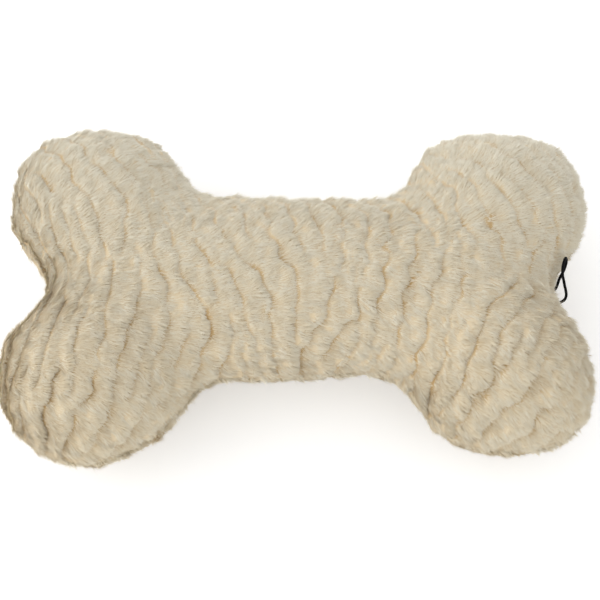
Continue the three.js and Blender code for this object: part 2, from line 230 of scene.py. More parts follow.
def write_map(mesh: bpy.types.Mesh, corners: np.ndarray) -> None:
    """Writes the map that the fur's material reads: tone across, and depth in the pile upwards, which the
    material paints as shade.
    """
    layer = mesh.uv_layers.new(name=BAKE_MAP)
    layer.uv.foreach_set("vector", corners.astype(np.float32).ravel())


def opened(*meshes: bpy.types.Mesh) -> bmesh.types.BMesh:
    """Opens one shape that holds a copy of each mesh.

    Args:
        meshes: The meshes.

    Returns:
        The shape.
    """
    shape = bmesh.new()
    for mesh in meshes:
        shape.from_mesh(mesh)
    return shape


def closed(shape: bmesh.types.BMesh, mesh: bpy.types.Mesh) -> bpy.types.Mesh:
    """Writes a shape to a mesh, and lets the shape go.

    Args:
        shape: The shape.
        mesh: Where it is written.

    Returns:
        The mesh.
    """
    shape.to_mesh(mesh)
    shape.free()
    return mesh


def soften(shape: bmesh.types.BMesh, times: int) -> None:
    """Evens out a shape's vertices.

    Args:
        shape: The shape.
        times: How often.
    """
    for _ in range(times):
        bmesh.ops.smooth_vert(
            shape, verts=shape.verts, factor=0.5, use_axis_x=True, use_axis_y=True, use_axis_z=True
        )


def remeshed(name: str, nodes: tuple[str, ...], voxel: float) -> bpy.types.Object:
    """Joins solids of the frame in one new piece with an even mesh.

    Args:
        name: Name of the piece.
        nodes: The solids.
        voxel: Size of the mesh's cells.

    Returns:
        The piece.
    """
    shape = opened(*(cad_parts[node].data for node in nodes))
    bmesh.ops.remove_doubles(shape, verts=shape.verts, dist=MERGE)
    piece = show(name, closed(shape, bpy.data.meshes.new(name)))
    remesh = piece.modifiers.new("remesh", "REMESH")
    remesh.mode = "VOXEL"
    remesh.voxel_size = voxel
    apply_modifiers(piece)
    return piece


def round_curve(name: str, diameter: float, fineness: int) -> bpy.types.Curve:
    """Starts a round cord or thread that has no runs yet.

    Args:
        name: Name of the curve.
        diameter: Its thickness.
        fineness: How finely its section is rounded.

    Returns:
        The curve.
    """
    curve = bpy.data.curves.new(name, "CURVE")
    curve.dimensions = "3D"
    curve.bevel_depth = diameter / 2
    curve.bevel_resolution = fineness
    curve.use_fill_caps = True
    return curve


def add_run(curve: bpy.types.Curve, points: np.ndarray, ring: bool) -> None:
    """Adds one run to a curve.

    Args:
        curve: The curve.
        points: Points along the run.
        ring: Whether the run joins its own start.
    """
    spline = curve.splines.new("POLY")
    spline.points.add(len(points) - 1)
    spline.points.foreach_set("co", np.column_stack([points, np.ones(len(points))]).ravel())
    spline.use_cyclic_u = ring


def swept(name: str, curve: bpy.types.Curve, material: bpy.types.Material) -> bpy.types.Object:
    """Turns a curve into a piece with a mesh.

    Args:
        name: Name of the piece.
        curve: The curve.
        material: Its material.

    Returns:
        The piece.
    """
    route = show(f"{name}_route", curve)
    piece = show(name, finished_mesh(route))
    bpy.data.objects.remove(route)
    piece.data.materials.clear()
    piece.data.materials.append(material)
    return piece


class Nodes:
    """A short way to write a material's node tree."""

    def __init__(self, name: str) -> None:
        """Starts a material with one Principled shader.

        Args:
            name: Name of the material.
        """
        self.material = bpy.data.materials.new(name)
        self.material.use_nodes = True
        self.tree = self.material.node_tree
        self.shader = self.tree.nodes["Principled BSDF"]

    def add(self, kind: str, **settings: object) -> bpy.types.Node:
        """Adds a node and sets its properties.

        Args:
            kind: Blender's name of the node type.
            settings: Properties of the node, or values of its input sockets.

        Returns:
            The new node.
        """
        node = self.tree.nodes.new(kind)
        for key, value in settings.items():
            if key in node.bl_rna.properties:
                setattr(node, key, value)
            else:
                node.inputs[key.replace("_", " ")].default_value = value
        return node

    def join(self, start: bpy.types.NodeSocket, end: bpy.types.NodeSocket) -> None:
        """Links two sockets."""
        self.tree.links.new(start, end)

    def ramp(self, factor: bpy.types.NodeSocket, *stops: tuple[float, Colour]) -> bpy.types.NodeSocket:
        """Adds a colour ramp.

        Args:
            factor: Socket that drives the ramp.
            stops: Places from 0 to 1 with their colours.

        Returns:
            The ramp's colour socket.
        """
        node = self.add("ShaderNodeValToRGB")
        elements = node.color_ramp.elements
        while len(elements) < len(stops):
            elements.new(0.5)
        for element, (place, colour) in zip(elements, stops):
            element.position = place
            element.color = colour
        self.join(factor, node.inputs["Fac"])
        return node.outputs["Color"]

    def texture(self, kind: str, **settings: object) -> bpy.types.NodeSocket:
        """Adds a texture on Object coordinates.

        Args:
            kind: Blender's name of the node type.
            settings: As for any node.

        Returns:
            The socket that gives its strength.
        """
        node = self.add(kind, **settings)
        self.join(self.add("ShaderNodeTexCoord").outputs["Object"], node.inputs["Vector"])
        return node.outputs["Fac"]

    def maths(
        self, operation: str, first: bpy.types.NodeSocket, second: bpy.types.NodeSocket
    ) -> bpy.types.NodeSocket:
        """Adds a node that works out one value from two.

        Args:
            operation: What it does with them.
            first: Socket of the one value.
            second: Socket of the other.

        Returns:
            The socket of the result.
        """
        node = self.add("ShaderNodeMath", operation=operation)
        self.join(first, node.inputs[0])
        self.join(second, node.inputs[1])
        return node.outputs[0]

    def paint(self, colour: bpy.types.NodeSocket) -> None:
        """Gives the surface its colour."""
        self.join(colour, self.shader.inputs["Base Color"])

    def bump(self, height: bpy.types.NodeSocket, strength: float, depth: float) -> None:
        """Raises the surface.

        Args:
            height: Socket that says how high.
            strength: How strongly it shows.
            depth: Depth of the relief.
        """
        node = self.add("ShaderNodeBump", Strength=strength, Distance=depth)
        self.join(height, node.inputs["Height"])
        self.join(node.outputs["Normal"], self.shader.inputs["Normal"])

    def surface(self, **values: float | Colour) -> None:
        """Sets constants on the shader's own sockets."""
        for key, value in values.items():
            self.shader.inputs[key.replace("_", " ")].default_value = value


@dataclass(frozen=True)
class FurFinish:
    """Cream pile with painted warm shade: ochre low at the tufts' bases and in the valleys, paler towards
    its tips.
    """

    # The first two stops are painted warm shade, for fur that lies low in the pile and in its valleys.
    root: Colour = srgb(170, 135, 79)
    shank: Colour = srgb(208, 191, 160)
    body: Colour = srgb(221, 214, 195)
    tip: Colour = srgb(229, 224, 209)
    warm_body: Colour = srgb(217, 202, 172)
    warm_tip: Colour = srgb(224, 214, 190)
    depths: tuple[float, ...] = (0.0, 0.3, 0.65, 1.0)

    def material(self) -> bpy.types.Material:
        """Makes the pile's material, which reads its tone and depth from the piece's own map and paints
        shade from the depth.

        Returns:
            The material.
        """
        nodes = Nodes("cream_pile")
        place = nodes.add("ShaderNodeUVMap", uv_map=BAKE_MAP)
        apart = nodes.add("ShaderNodeSeparateXYZ")
        nodes.join(place.outputs["UV"], apart.inputs["Vector"])
        mix = nodes.add("ShaderNodeMix", data_type="RGBA")
        nodes.join(apart.outputs["X"], mix.inputs["Factor"])
        for number, body, tip in (
            (MIX_FIRST, self.warm_body, self.warm_tip),
            (MIX_SECOND, self.body, self.tip),
        ):
            # Depth runs from painted shade low in the pile to the fur's own cream at the tips.
            stops = zip(self.depths, (self.root, self.shank, body, tip))
            nodes.join(nodes.ramp(apart.outputs["Y"], *stops), mix.inputs[number])
        nodes.paint(mix.outputs[MIX_RESULT])
        nodes.surface(Roughness=0.9, Specular_IOR_Level=0.1, Sheen_Weight=0.1, Sheen_Roughness=0.5)
        return nodes.material


@dataclass(frozen=True)
class CordFinish:
    """Black braided cord."""

    colour: Colour = srgb(11, 11, 13)
    worn: Colour = srgb(20, 20, 22)
    plaits: float = 1500.0

    def material(self) -> bpy.types.Material:
        """Makes the cord's material.

        Returns:
            The material.
        """
        nodes = Nodes("black_cord")
        braid = nodes.texture(
            "ShaderNodeTexWave", Scale=self.plaits, Distortion=2.0, bands_direction="DIAGONAL"
        )
        nodes.paint(nodes.ramp(braid, (0.2, self.colour), (0.9, self.worn)))
        nodes.bump(braid, strength=0.3, depth=0.1 * MM)
        nodes.surface(Roughness=0.7, Specular_IOR_Level=0.08)
        return nodes.material


@dataclass(frozen=True)
class KnitFinish:
    """Off-white knitted backing of the fur."""

    colour: Colour = srgb(226, 219, 204)
    shade: Colour = srgb(196, 186, 166)
    courses: float = 420.0

    def material(self) -> bpy.types.Material:
        """Makes the backing's material.

        Returns:
            The material.
        """
        nodes = Nodes("knit_backing")
        wales, courses = (
            nodes.texture("ShaderNodeTexWave", Scale=self.courses, Distortion=1.0, bands_direction=way)
            for way in ("X", "Y")
        )
        loops = nodes.maths("MULTIPLY", wales, courses)
        nodes.paint(nodes.ramp(loops, (0.0, self.shade), (0.6, self.colour)))
        nodes.bump(loops, strength=0.4, depth=0.2 * MM)
        nodes.surface(Roughness=0.95, Specular_IOR_Level=0.15)
        return nodes.material


@dataclass(frozen=True)
class FibreFinish:
    """White crimped fibre, loose and slightly uneven."""

    colour: Colour = srgb(240, 238, 232)
    shade: Colour = srgb(214, 210, 200)
    fineness: float = 260.0

    def material(self) -> bpy.types.Material:
        """Makes the stuffing's material.

        Returns:
            The material.
        """
        nodes = Nodes("loose_fibre")
        crimp = nodes.texture(
            "ShaderNodeTexNoise", Scale=self.fineness, Detail=6.0, Roughness=0.7, Distortion=1.6
        )
        nodes.paint(nodes.ramp(crimp, (0.3, self.shade), (0.62, self.colour)))
        nodes.bump(crimp, strength=0.6, depth=0.8 * MM)
        nodes.surface(Roughness=1.0, Specular_IOR_Level=0.1, Sheen_Weight=0.3, Sheen_Roughness=0.6)
        return nodes.material


@dataclass(frozen=True)
class ThreadFinish:
    """Twisted sewing thread."""

    colour: Colour = srgb(224, 212, 184)
    shade: Colour = srgb(190, 174, 140)
    twists: float = 2600.0

    def material(self) -> bpy.types.Material:
        """Makes the thread's material.

        Returns:
            The material.
        """
        nodes = Nodes("sewing_thread")
        ply = nodes.texture(
            "ShaderNodeTexWave", Scale=self.twists, Distortion=0.5, bands_direction="DIAGONAL"
        )
        nodes.paint(nodes.ramp(ply, (0.1, self.shade), (0.7, self.colour)))
        nodes.surface(Roughness=0.6, Specular_IOR_Level=0.3)
        return nodes.material


@dataclass(frozen=True)
class PlasticFinish:
    """Moulded plastic with a faint flow in its colour and a fine surface."""

    name: str
    colour: Colour
    streak: Colour
    roughness: float
    flow: float = 90.0
    grain: float = 3600.0

    def material(self) -> bpy.types.Material:
        """Makes the plastic's material.

        Returns:
            The material.
        """
        nodes = Nodes(self.name)
        flow = nodes.texture("ShaderNodeTexNoise", Scale=self.flow, Detail=3.0, Distortion=0.8)
        nodes.paint(nodes.ramp(flow, (0.35, self.streak), (0.6, self.colour)))
        grain = nodes.texture("ShaderNodeTexNoise", Scale=self.grain, Detail=2.0)
        nodes.bump(grain, strength=0.1, depth=0.05 * MM)
        nodes.surface(Roughness=self.roughness, Specular_IOR_Level=0.45)
        return nodes.material


@dataclass(frozen=True)
class Lamp:
    """One broad lamp aimed at the toy: its place and width in metres, and its power in watts."""

    name: str
    place: Place
    width: float
    power: float


@dataclass
class Studio:
    """Pale floor, soft light and the camera."""

    elevation: float = 66.0
    distance: float = 0.717
    lens: float = 83.1
    rise: float = -0.0157
    floor_width: float = 6.0
    floor_grey: float = 0.85
    floor_glow: float = 0.3
    sky: float = 0.85
    lamps: tuple[Lamp, ...] = (
        Lamp("key", (-1.1, 0.1, 0.85), 1.4, 6.5),
        Lamp("fill", (-0.4, -1.4, 0.8), 1.6, 7.5),
        Lamp("back", (-0.5, 1.4, 0.6), 1.6, 6.0),
    )

    def build(self) -> None:
        """Makes the whole stage."""
        self.camera()
        self.floor()
        self.light()

    def aim(self, piece: bpy.types.Object, place: Vector) -> None:
        """Puts a lamp or the camera at a place, turned towards the toy.

        Args:
            piece: The lamp or the camera.
            place: Where it goes.
        """
        middle = Vector((0.0, 0.0, SEAM_Z))
        piece.location = place
        piece.rotation_euler = (middle - place).to_track_quat("-Z", "Y").to_euler()

    def camera(self) -> None:
        """Makes the camera at the photograph's viewing angle."""
        tilt = math.radians(self.elevation)
        back = Vector((0.0, -math.cos(tilt), math.sin(tilt)))
        data = bpy.data.cameras.new("camera")
        data.lens = self.lens
        data.shift_y = self.rise
        camera = show("camera", data)
        self.aim(camera, Vector((0.0, 0.0, SEAM_Z)) + back * self.distance)
        bpy.context.scene.camera = camera
        bpy.context.scene.view_settings.view_transform = "Standard"

    def floor(self) -> None:
        """Makes a floor that keeps the toy's shadow, and that the camera sees as white."""
        shape = bmesh.new()
        bmesh.ops.create_grid(shape, x_segments=1, y_segments=1, size=self.floor_width / 2)
        mesh = closed(shape, bpy.data.meshes.new("floor"))
        nodes = Nodes("white_floor")
        grey = (self.floor_grey, self.floor_grey, self.floor_grey, 1.0)
        nodes.surface(Roughness=0.9, Specular_IOR_Level=0.0, Base_Color=grey, Emission_Color=WHITE)
        rays = nodes.add("ShaderNodeLightPath").outputs
        seen = nodes.maths("MAXIMUM", rays["Is Camera Ray"], rays["Is Glossy Ray"])
        seen = nodes.maths("MAXIMUM", seen, rays["Is Transmission Ray"])
        glow = nodes.add("ShaderNodeMath", operation="MULTIPLY")
        glow.inputs[1].default_value = self.floor_glow
        nodes.join(seen, glow.inputs[0])
        nodes.join(glow.outputs[0], nodes.shader.inputs["Emission Strength"])
        mesh.materials.append(nodes.material)
        show("floor", mesh)

    def light(self) -> None:
        """Makes a broad key light from the left, weaker ones from front and back, and an even white sky."""
        for lamp in self.lamps:
            data = bpy.data.lights.new(lamp.name, "AREA")
            data.size = lamp.width
            data.energy = lamp.power
            self.aim(show(lamp.name, data), Vector(lamp.place))
        world = bpy.data.worlds.new("white_sky")
        world.use_nodes = True
        background = world.node_tree.nodes["Background"]
        background.inputs["Color"].default_value = WHITE
        background.inputs["Strength"].default_value = self.sky
        bpy.context.scene.world = world


@dataclass(frozen=True)
class Push:
    """One push on the stuffed form in plan, in millimetres: its place and how far it moves."""

    x: float
    y: float
    dx: float
    dy: float


@dataclass
class HandShaping:
    """Uneven stuffing, which makes each knob a little different from the rest."""

    reach: float = 18 * MM
    pushes: tuple[Push, ...] = (
        Push(-146, 65, -3.5, 4.5),
        Push(-104, 91, 0, -2),
        Push(-72, 80, 3, 3),
        Push(-31, 54, 0, 7.5),
        Push(-5, 52, 0, 2),
        Push(21, 51, 0, 6),
        Push(65, 71, -4, 7),
        Push(106, 90, 0, -4),
        Push(140, 70, 1, 0.5),
        Push(148, 46, 1.5, 0),
        Push(146, 20, 2.5, 0),
        Push(-104, -99, 0, -4.5),
        Push(-145, -82, -2.5, -3.5),
        Push(-62, -66, 4, -5),
        Push(-21, -50, 0, -5),
        Push(12, -50, 0, -2.5),
        Push(62, -68, -4, -5),
        Push(109, -94, -1, 3),
        Push(135, -85, 0.8, -0.5),
        Push(148, -25, -1.5, 0),
        Push(131, -2, 1.6, 0),
        Push(-140, 24, -5, 0),
        Push(-148, -40, -3.5, 0),
    )

    def moved(self, points: np.ndarray) -> np.ndarray:
        """Pushes points sideways.

        Args:
            points: Points on or in the toy.

        Returns:
            The moved points.
        """
        places = np.array([(push.x, push.y) for push in self.pushes]) * MM
        moves = np.array([(push.dx, push.dy) for push in self.pushes]) * MM
        apart = ((points[:, None, :2] - places[None]) ** 2).sum(2)
        shifted = points.copy()
        shifted[:, :2] += np.exp(-apart / (2 * self.reach**2)) @ moves
        return shifted


@dataclass
class StuffedForm:
    """The stuffed bone under its pile: remeshed from the solids of the frame, then swollen as cloth."""

    voxel: float = 4.4 * MM
    pile: float = 2.5 * MM
    slack: float = 2 * MM
    steps: int = 4
    smoothing: int = 3
    pressure: float = 4.0
    frames: int = 20
    swell_cap: float = 3 * MM

    def build(self) -> bpy.types.Object:
        """Makes the closed form that both panels are cut from.

        Returns:
            A scratch object, removed once the panels are made.
        """
        nodes = (TOP_PANEL, BOTTOM_PANEL, *SHAFT_FILLS, *KNOB_FILLS)
        form = remeshed("stuffed_form", nodes, self.voxel)
        self.keep_outside(form.data)
        self.shrink(form.data)
        self.swell(form)
        self.fit(form.data)
        move_points(form.data, HandShaping().moved(points_of(form.data)))
        return form

    def keep_outside(self, mesh: bpy.types.Mesh) -> None:
        """Deletes what the remesh left inside the form.

        Args:
            mesh: The remeshed form.
        """
        shape = opened(mesh)
        start = max(shape.verts, key=lambda vertex: vertex.co.x)
        outside = {start}
        reached = [start]
        while reached:
            vertex = reached.pop()
            for link in vertex.link_edges:
                other = link.other_vert(vertex)
                if other not in outside:
                    outside.add(other)
                    reached.append(other)
        inside = [vertex for vertex in shape.verts if vertex not in outside]
        bmesh.ops.delete(shape, geom=inside, context="VERTS")
        closed(shape, mesh)

    def shrink(self, mesh: bpy.types.Mesh) -> None:
        """Draws the form in from the tips of the pile to the backing, less its slack.

        Args:
            mesh: The form.
        """
        shape = opened(mesh)
        step = (self.pile + self.slack) / self.steps
        for _ in range(self.steps):
            shape.normal_update()
            for vertex in shape.verts:
                vertex.co -= vertex.normal * step
            soften(shape, self.smoothing)
        closed(shape, mesh)

    def swell(self, form: bpy.types.Object) -> None:
        """Lets the filling push the cover out, as a cloth under pressure.

        Args:
            form: The shrunken form.
        """
        start = points_of(form.data)
        cloth = form.modifiers.new("swell", "CLOTH")
        cloth.settings.use_pressure = True
        cloth.settings.uniform_pressure_force = self.pressure
        cloth.settings.effector_weights.gravity = 0.0
        cloth.point_cache.frame_start = 1
        cloth.point_cache.frame_end = self.frames
        for number in range(1, self.frames + 1):
            bpy.context.scene.frame_set(number)
        swollen = finished_mesh(form)
        moves = points_of(swollen) - start
        form.modifiers.clear()
        bpy.context.scene.frame_set(1)
        length = np.linalg.norm(moves, axis=1, keepdims=True)
        capped = moves * np.minimum(1.0, self.swell_cap / np.maximum(length, TINY))
        LOG.info("swelling moved the cover %.1f mm at most", length.max() / MM)
        move_points(form.data, start + capped)
        bpy.data.meshes.remove(swollen)

    def fit(self, mesh: bpy.types.Mesh) -> None:
        """Fits the form to the frame's box, one pile depth inside it.

        Args:
            mesh: The swollen form.
        """
        low, high = (np.array(corner) for corner in CAD_BOX)
        inset = np.full(3, self.pile)
        points = points_of(mesh)
        have_low, have_high = points.min(0), points.max(0)
        share = (points - have_low) / (have_high - have_low)
        move_points(mesh, low + inset + share * (high - low - 2 * inset))


@dataclass(frozen=True)
class CombStroke:
    """One stroke of the comb: a place in plan, in millimetres, and the way that the pile leans."""

    x: float
    y: float
    degrees: float


@dataclass
class CombField:
    """Direction of the pile over the whole cover, blended from a few strokes."""

    reach: float = 24 * MM
    far_weight: float = 1e-9
    steepest: float = 0.2
    strokes: tuple[CombStroke, ...] = (
        CombStroke(-135, 60, 25),
        CombStroke(-110, 75, 48),
        CombStroke(-110, 35, 42),
        CombStroke(-70, 45, 32),
        CombStroke(-120, 0, -5),
        CombStroke(-80, -5, -10),
        CombStroke(-140, -50, -2),
        CombStroke(-110, -45, -12),
        CombStroke(-115, -85, -40),
        CombStroke(-75, -60, -32),
        CombStroke(-40, 30, 28),
        CombStroke(-40, 0, 25),
        CombStroke(-40, -25, 38),
        CombStroke(-45, -48, -45),
        CombStroke(-10, 35, 42),
        CombStroke(-10, 0, 26),
        CombStroke(-15, -25, 25),
        CombStroke(-10, -48, -28),
        CombStroke(12, 0, -2),
        CombStroke(12, -30, -15),
        CombStroke(20, 35, 42),
        CombStroke(32, 8, -24),
        CombStroke(45, 38, 38),
        CombStroke(50, 0, -28),
        CombStroke(42, -30, -30),
        CombStroke(30, -48, -26),
        CombStroke(80, 55, 60),
        CombStroke(100, 80, 70),
        CombStroke(105, 55, 52),
        CombStroke(132, 62, 42),
        CombStroke(140, 40, 20),
        CombStroke(88, 32, 48),
        CombStroke(85, 5, -38),
        CombStroke(125, 10, -20),
        CombStroke(80, -40, -32),
        CombStroke(110, -45, -42),
        CombStroke(138, -45, -30),
        CombStroke(110, -78, -43),
    )

    def directions(self, points: np.ndarray, normals: np.ndarray, side: Side) -> np.ndarray:
        """Works out the way the pile leans at each point, along the surface.

        Args:
            points: Points on the cover.
            normals: Their outward normals.
            side: The panel, because the lower one is laid mirrored.

        Returns:
            Unit vectors along the surface.
        """
        places = np.array([(stroke.x, stroke.y) for stroke in self.strokes]) * MM
        angles = np.radians([stroke.degrees for stroke in self.strokes])
        plan = points[:, :2] * (1.0, side.value)
        apart = ((plan[:, None, :] - places[None]) ** 2).sum(2)
        weights = np.exp(-apart / (2 * self.reach**2)) + self.far_weight
        angle = side.value * (weights @ angles) / weights.sum(1)
        lean = np.stack([np.cos(angle), np.sin(angle), np.zeros_like(angle)], 1)
        tipped = (lean * normals).sum(1) / np.maximum(1 + side.value * normals[:, 2], self.steepest)
        lean -= tipped[:, None] * (normals + (0, 0, side.value))
        return along_surface(lean, normals)


def warmth(points: np.ndarray) -> np.ndarray:
    """How warm the fur is at each point, from about -2 at the rear edge to 2 at the front."""
    return -points[:, 1] / WARM_REACH


def graded(values: np.ndarray, middle: float, slope: float, low: float, high: float) -> np.ndarray:
    """Scales values about a middle, within limits."""
    return np.clip(middle + slope * values, low, high)


def drift(points: np.ndarray, size: float, rng: np.random.Generator, count: int = 8) -> np.ndarray:
    """Slow noise of about -1 to 1, from a few waves in random directions.

    Args:
        points: Points on the cover.
        size: Length of a typical wave.
        rng: Source of the random numbers.
        count: Number of waves.

    Returns:
        One value for each point.
    """
    waves = unit(rng.normal(size=(count, 3))) * rng.uniform(0.6, 1.6, (count, 1)) / size
    starts = rng.uniform(0, 2 * np.pi, count)
    return np.sin(2 * np.pi * points @ waves.T + starts).sum(1) / 3


@dataclass
class RidgePattern:
    """Carved ridges across the pile: a wave that follows the comb and branches where it has to."""

    pitch: float = 12 * MM
    uneven: float = 0.35
    wander: float = 14.0
    patch: float = 45 * MM
    reach: float = 8 * MM
    grip: float = 0.6
    rounds: int = 50
    kink: float = 0.65
    kink_size: float = 20 * MM

    def phase(self, points: np.ndarray, normals: np.ndarray, comb: np.ndarray, seed: int) -> np.ndarray:
        """Grows the ridges from noise until neighbours agree.

        Args:
            points: Points on one panel.
            normals: Their normals.
            comb: Direction of the pile at each.
            seed: Seed of the noise.

        Returns:
            A complex number for each point: its angle runs once round from valley to valley, and its size
            is how far the neighbours agree.
        """
        rng = np.random.default_rng(seed)
        first, second, apart = self.neighbours(points)
        stretch = 1 + self.uneven * drift(points, self.patch, rng)
        turn = np.radians(self.wander) * drift(points, self.patch, rng)
        across = np.cross(normals, comb)
        wave = (comb * np.cos(turn)[:, None] + across * np.sin(turn)[:, None]) / stretch[:, None]
        step = points[first] - points[second]
        lag = np.pi / self.pitch * ((wave[first] + wave[second]) * step).sum(1)
        facing = np.clip((normals[first] * normals[second]).sum(1), 0, 1)
        pull = np.exp(-((apart / (self.grip * self.reach)) ** 2)) * facing**2 * np.exp(1j * lag)
        state = np.exp(2j * np.pi * rng.random(len(points)))
        for _ in range(self.rounds):
            carried = pull * state[second]
            real = np.bincount(first, carried.real, len(points))
            imaginary = np.bincount(first, carried.imag, len(points))
            state = real + 1j * imaginary
            agreed = np.abs(state)
            state /= np.maximum(agreed, TINY)
        agreed /= np.bincount(first, np.abs(pull), len(points))
        return agreed * state * np.exp(1j * self.kink * drift(points, self.kink_size, rng))

    def neighbours(self, points: np.ndarray) -> tuple[np.ndarray, np.ndarray, np.ndarray]:
        """Pairs each point with those within reach.

        Args:
            points: Points on one panel.

        Returns:
            Index of each pair's first and second point, and how far apart they are.
        """
        tree = KDTree(len(points))
        for index, point in enumerate(points):
            tree.insert(point, index)
        tree.balance()
        first: list[int] = []
        second: list[int] = []
        apart: list[float] = []
        for index, point in enumerate(points):
            for _, other, distance in tree.find_range(point, self.reach):
                first.append(index)
                second.append(other)
                apart.append(distance)
        return np.array(first), np.array(second), np.array(apart)


@dataclass
class Roots:
    """Where the tufts of one coat grow, and how the pile lies there."""

    points: np.ndarray
    normals: np.ndarray
    facing: np.ndarray
    comb: np.ndarray
    depth: np.ndarray
    tone: np.ndarray
    along: np.ndarray

    def some(self, chosen: np.ndarray) -> "Roots":
        """Keeps the chosen tufts."""
        return Roots(*(values[chosen] for values in vars(self).values()))


@dataclass
class FurCoat:
    """Fine tufts that lie over the pile in locks, each tuft a needle with three sides."""

    length: float = 5.5 * MM
    lengths: tuple[float, float] = (0.7, 1.25)
    valley_length: float = 0.55
    width: float = 0.42 * MM
    widths: tuple[float, float] = (0.7, 1.4)
    flat: float = 0.12
    buried: float = 0.3 * MM
    lip: float = 2.2 * MM
    run: float = 9 * MM
    rise: float = 14.0
    rises: tuple[float, float] = (-5, 9)
    unruly: float = 0.025
    unruly_rise: float = 28.0
    stray: float = 0.08
    swirl: float = 0.3
    lock: int = 3
    gather: float = 0.35
    gathers: tuple[float, float] = (0.5, 1.2)
    turned: float = 0.1
    crest: float = 0.3
    belly: float = 0.35
    tone: float = 0.6
    tone_drift: float = 0.2
    lock_tone: float = 0.25
    own_tone: float = 0.1
    # Painted shade: tuft bases sit this share of the pile's depth up the ramp.
    root_depth: float = 0.65
    crest_mix: float = 0.05
    valley_mix: float = 0.15
    # Painted shade fades by this much from each tuft's base to its tip.
    tip_gain: float = 0.5
    map_edge: float = 0.02
    map_width: float = 0.016
    map_skew: float = 0.01
    turned_away: float = 0.1
    floor: float = 0.3 * MM

    def template(self) -> tuple[np.ndarray, np.ndarray]:
        """Models one straight tuft along +Z, 1 long and 1 wide.

        Returns:
            Its vertices, and its faces as triangles of vertex numbers.
        """
        shape = bmesh.new()
        bmesh.ops.create_cone(shape, cap_ends=True, segments=3, radius1=0.5, radius2=0.0, depth=1.0)
        bmesh.ops.translate(shape, verts=shape.verts, vec=(0, 0, 0.5))
        bmesh.ops.remove_doubles(shape, verts=shape.verts, dist=1e-4)
        bmesh.ops.triangulate(shape, faces=shape.faces)
        bmesh.ops.recalc_face_normals(shape, faces=shape.faces)
        shape.verts.index_update()
        points = np.array([vertex.co for vertex in shape.verts])
        faces = np.array([[vertex.index for vertex in face.verts] for face in shape.faces])
        shape.free()
        return points, faces

    def leaders(self, points: np.ndarray, rng: np.random.Generator) -> np.ndarray:
        """Picks the tuft that each tuft's lock follows.

        Args:
            points: Roots of the tufts.
            rng: Source of the random numbers.

        Returns:
            Index of each tuft's leader.
        """
        chosen = rng.permutation(len(points))[: max(1, len(points) // self.lock)]
        tree = KDTree(len(chosen))
        for index in chosen:
            tree.insert(points[index], int(index))
        tree.balance()
        return np.array([tree.find(point)[1] for point in points])

    def build(self, name: str, roots: Roots, rng: np.random.Generator) -> bpy.types.Object:
        """Grows one piece of the coat.

        Args:
            name: Name of the piece.
            roots: Where its tufts grow.
            rng: Source of the random numbers.

        Returns:
            The new piece.
        """
        template, faces = self.template()
        count = len(roots.points)
        leader = self.leaders(roots.points, rng)
        start, tip, side = self.lie(roots, leader, rng)
        length = np.linalg.norm(tip - start, axis=1)
        way = unit(tip - start)
        beside = along_surface(side, way)
        above = np.cross(beside, way)
        width = self.width * rng.uniform(*self.widths, count)
        turned = self.turned * rng.normal(size=count)[leader]
        places = np.empty((count, len(template), 3))
        normals = np.empty_like(places)
        for number, (wide, high, far) in enumerate(template):
            offset = above * (self.flat * high) - beside * wide
            places[:, number] = start + way * (length * far)[:, None] + offset * width[:, None]
            curved = roots.facing + self.crest * above + self.belly * offset
            normals[:, number] = unit(curved + beside * turned[:, None])
        places[..., 2] = np.maximum(places[..., 2], self.floor)
        mesh = self.copies(name, places, faces)
        self.map_tufts(mesh, template, faces, *self.tones(roots, leader, rng))
        shade_smooth(mesh)
        mesh.normals_split_custom_set(self.shading(places, faces, normals))
        return show(name, mesh)

    def lie(
        self, roots: Roots, leader: np.ndarray, rng: np.random.Generator
    ) -> tuple[np.ndarray, np.ndarray, np.ndarray]:
        """Lays each tuft along the comb, and gathers the tips of each lock.

        Args:
            roots: Where the tufts grow.
            leader: Index of each tuft's leader.
            rng: Source of the random numbers.

        Returns:
            Start and tip of each tuft, and the direction beside it.
        """
        count = len(roots.points)
        rise = self.rise * (1 - roots.along) + rng.uniform(*self.rises, count)
        rise += self.unruly_rise * (rng.random(count) < self.unruly)
        rise = np.radians(rise)[:, None]
        side = unit(np.cross(roots.comb, roots.normals))
        way = roots.comb * np.cos(rise) + roots.normals * np.sin(rise)
        way += side * (self.stray * rng.normal(size=count) + self.swirl * roots.tone)[:, None]
        length = self.length * rng.uniform(*self.lengths, count)
        length *= self.valley_length + (1 - self.valley_length) * roots.depth
        length = np.minimum(length, self.lip + self.run * (1 - roots.along))
        start = roots.points - roots.normals * self.buried
        tip = start + unit(way) * length[:, None]
        gathered = self.gather * rng.uniform(*self.gathers, count)[:, None]
        tip += gathered * (tip[leader] - tip)
        return start, tip, side

    def tones(
        self, roots: Roots, leader: np.ndarray, rng: np.random.Generator
    ) -> tuple[np.ndarray, np.ndarray]:
        """Picks each tuft's tone and the depth that sets its painted shade, more mixed where the fur is
        warm.

        Args:
            roots: Where the tufts grow.
            leader: Index of each tuft's leader.
            rng: Source of the random numbers.

        Returns:
            A tone from 0 to 1 for each tuft, and how far out of the pile it starts, which sets the painted
            shade at its base.
        """
        shade, sunk, own = rng.normal(size=(3, len(leader)))
        warm = warmth(roots.points)
        mixed = graded(warm, middle=0.75, slope=0.25, low=0.45, high=1.2)
        tone = self.tone + self.tone_drift * (roots.tone - warm)
        tone += mixed * (self.lock_tone * shade[leader] + self.own_tone * own)
        # Bases sit lower on the ramp than the pile itself, as painted shade under the coat, with a random
        # spread for each lock.
        depth = self.root_depth * roots.depth
        depth += mixed * (self.crest_mix + self.valley_mix * (1 - roots.depth)) * sunk[leader]
        return np.clip(tone, 0, 1), depth

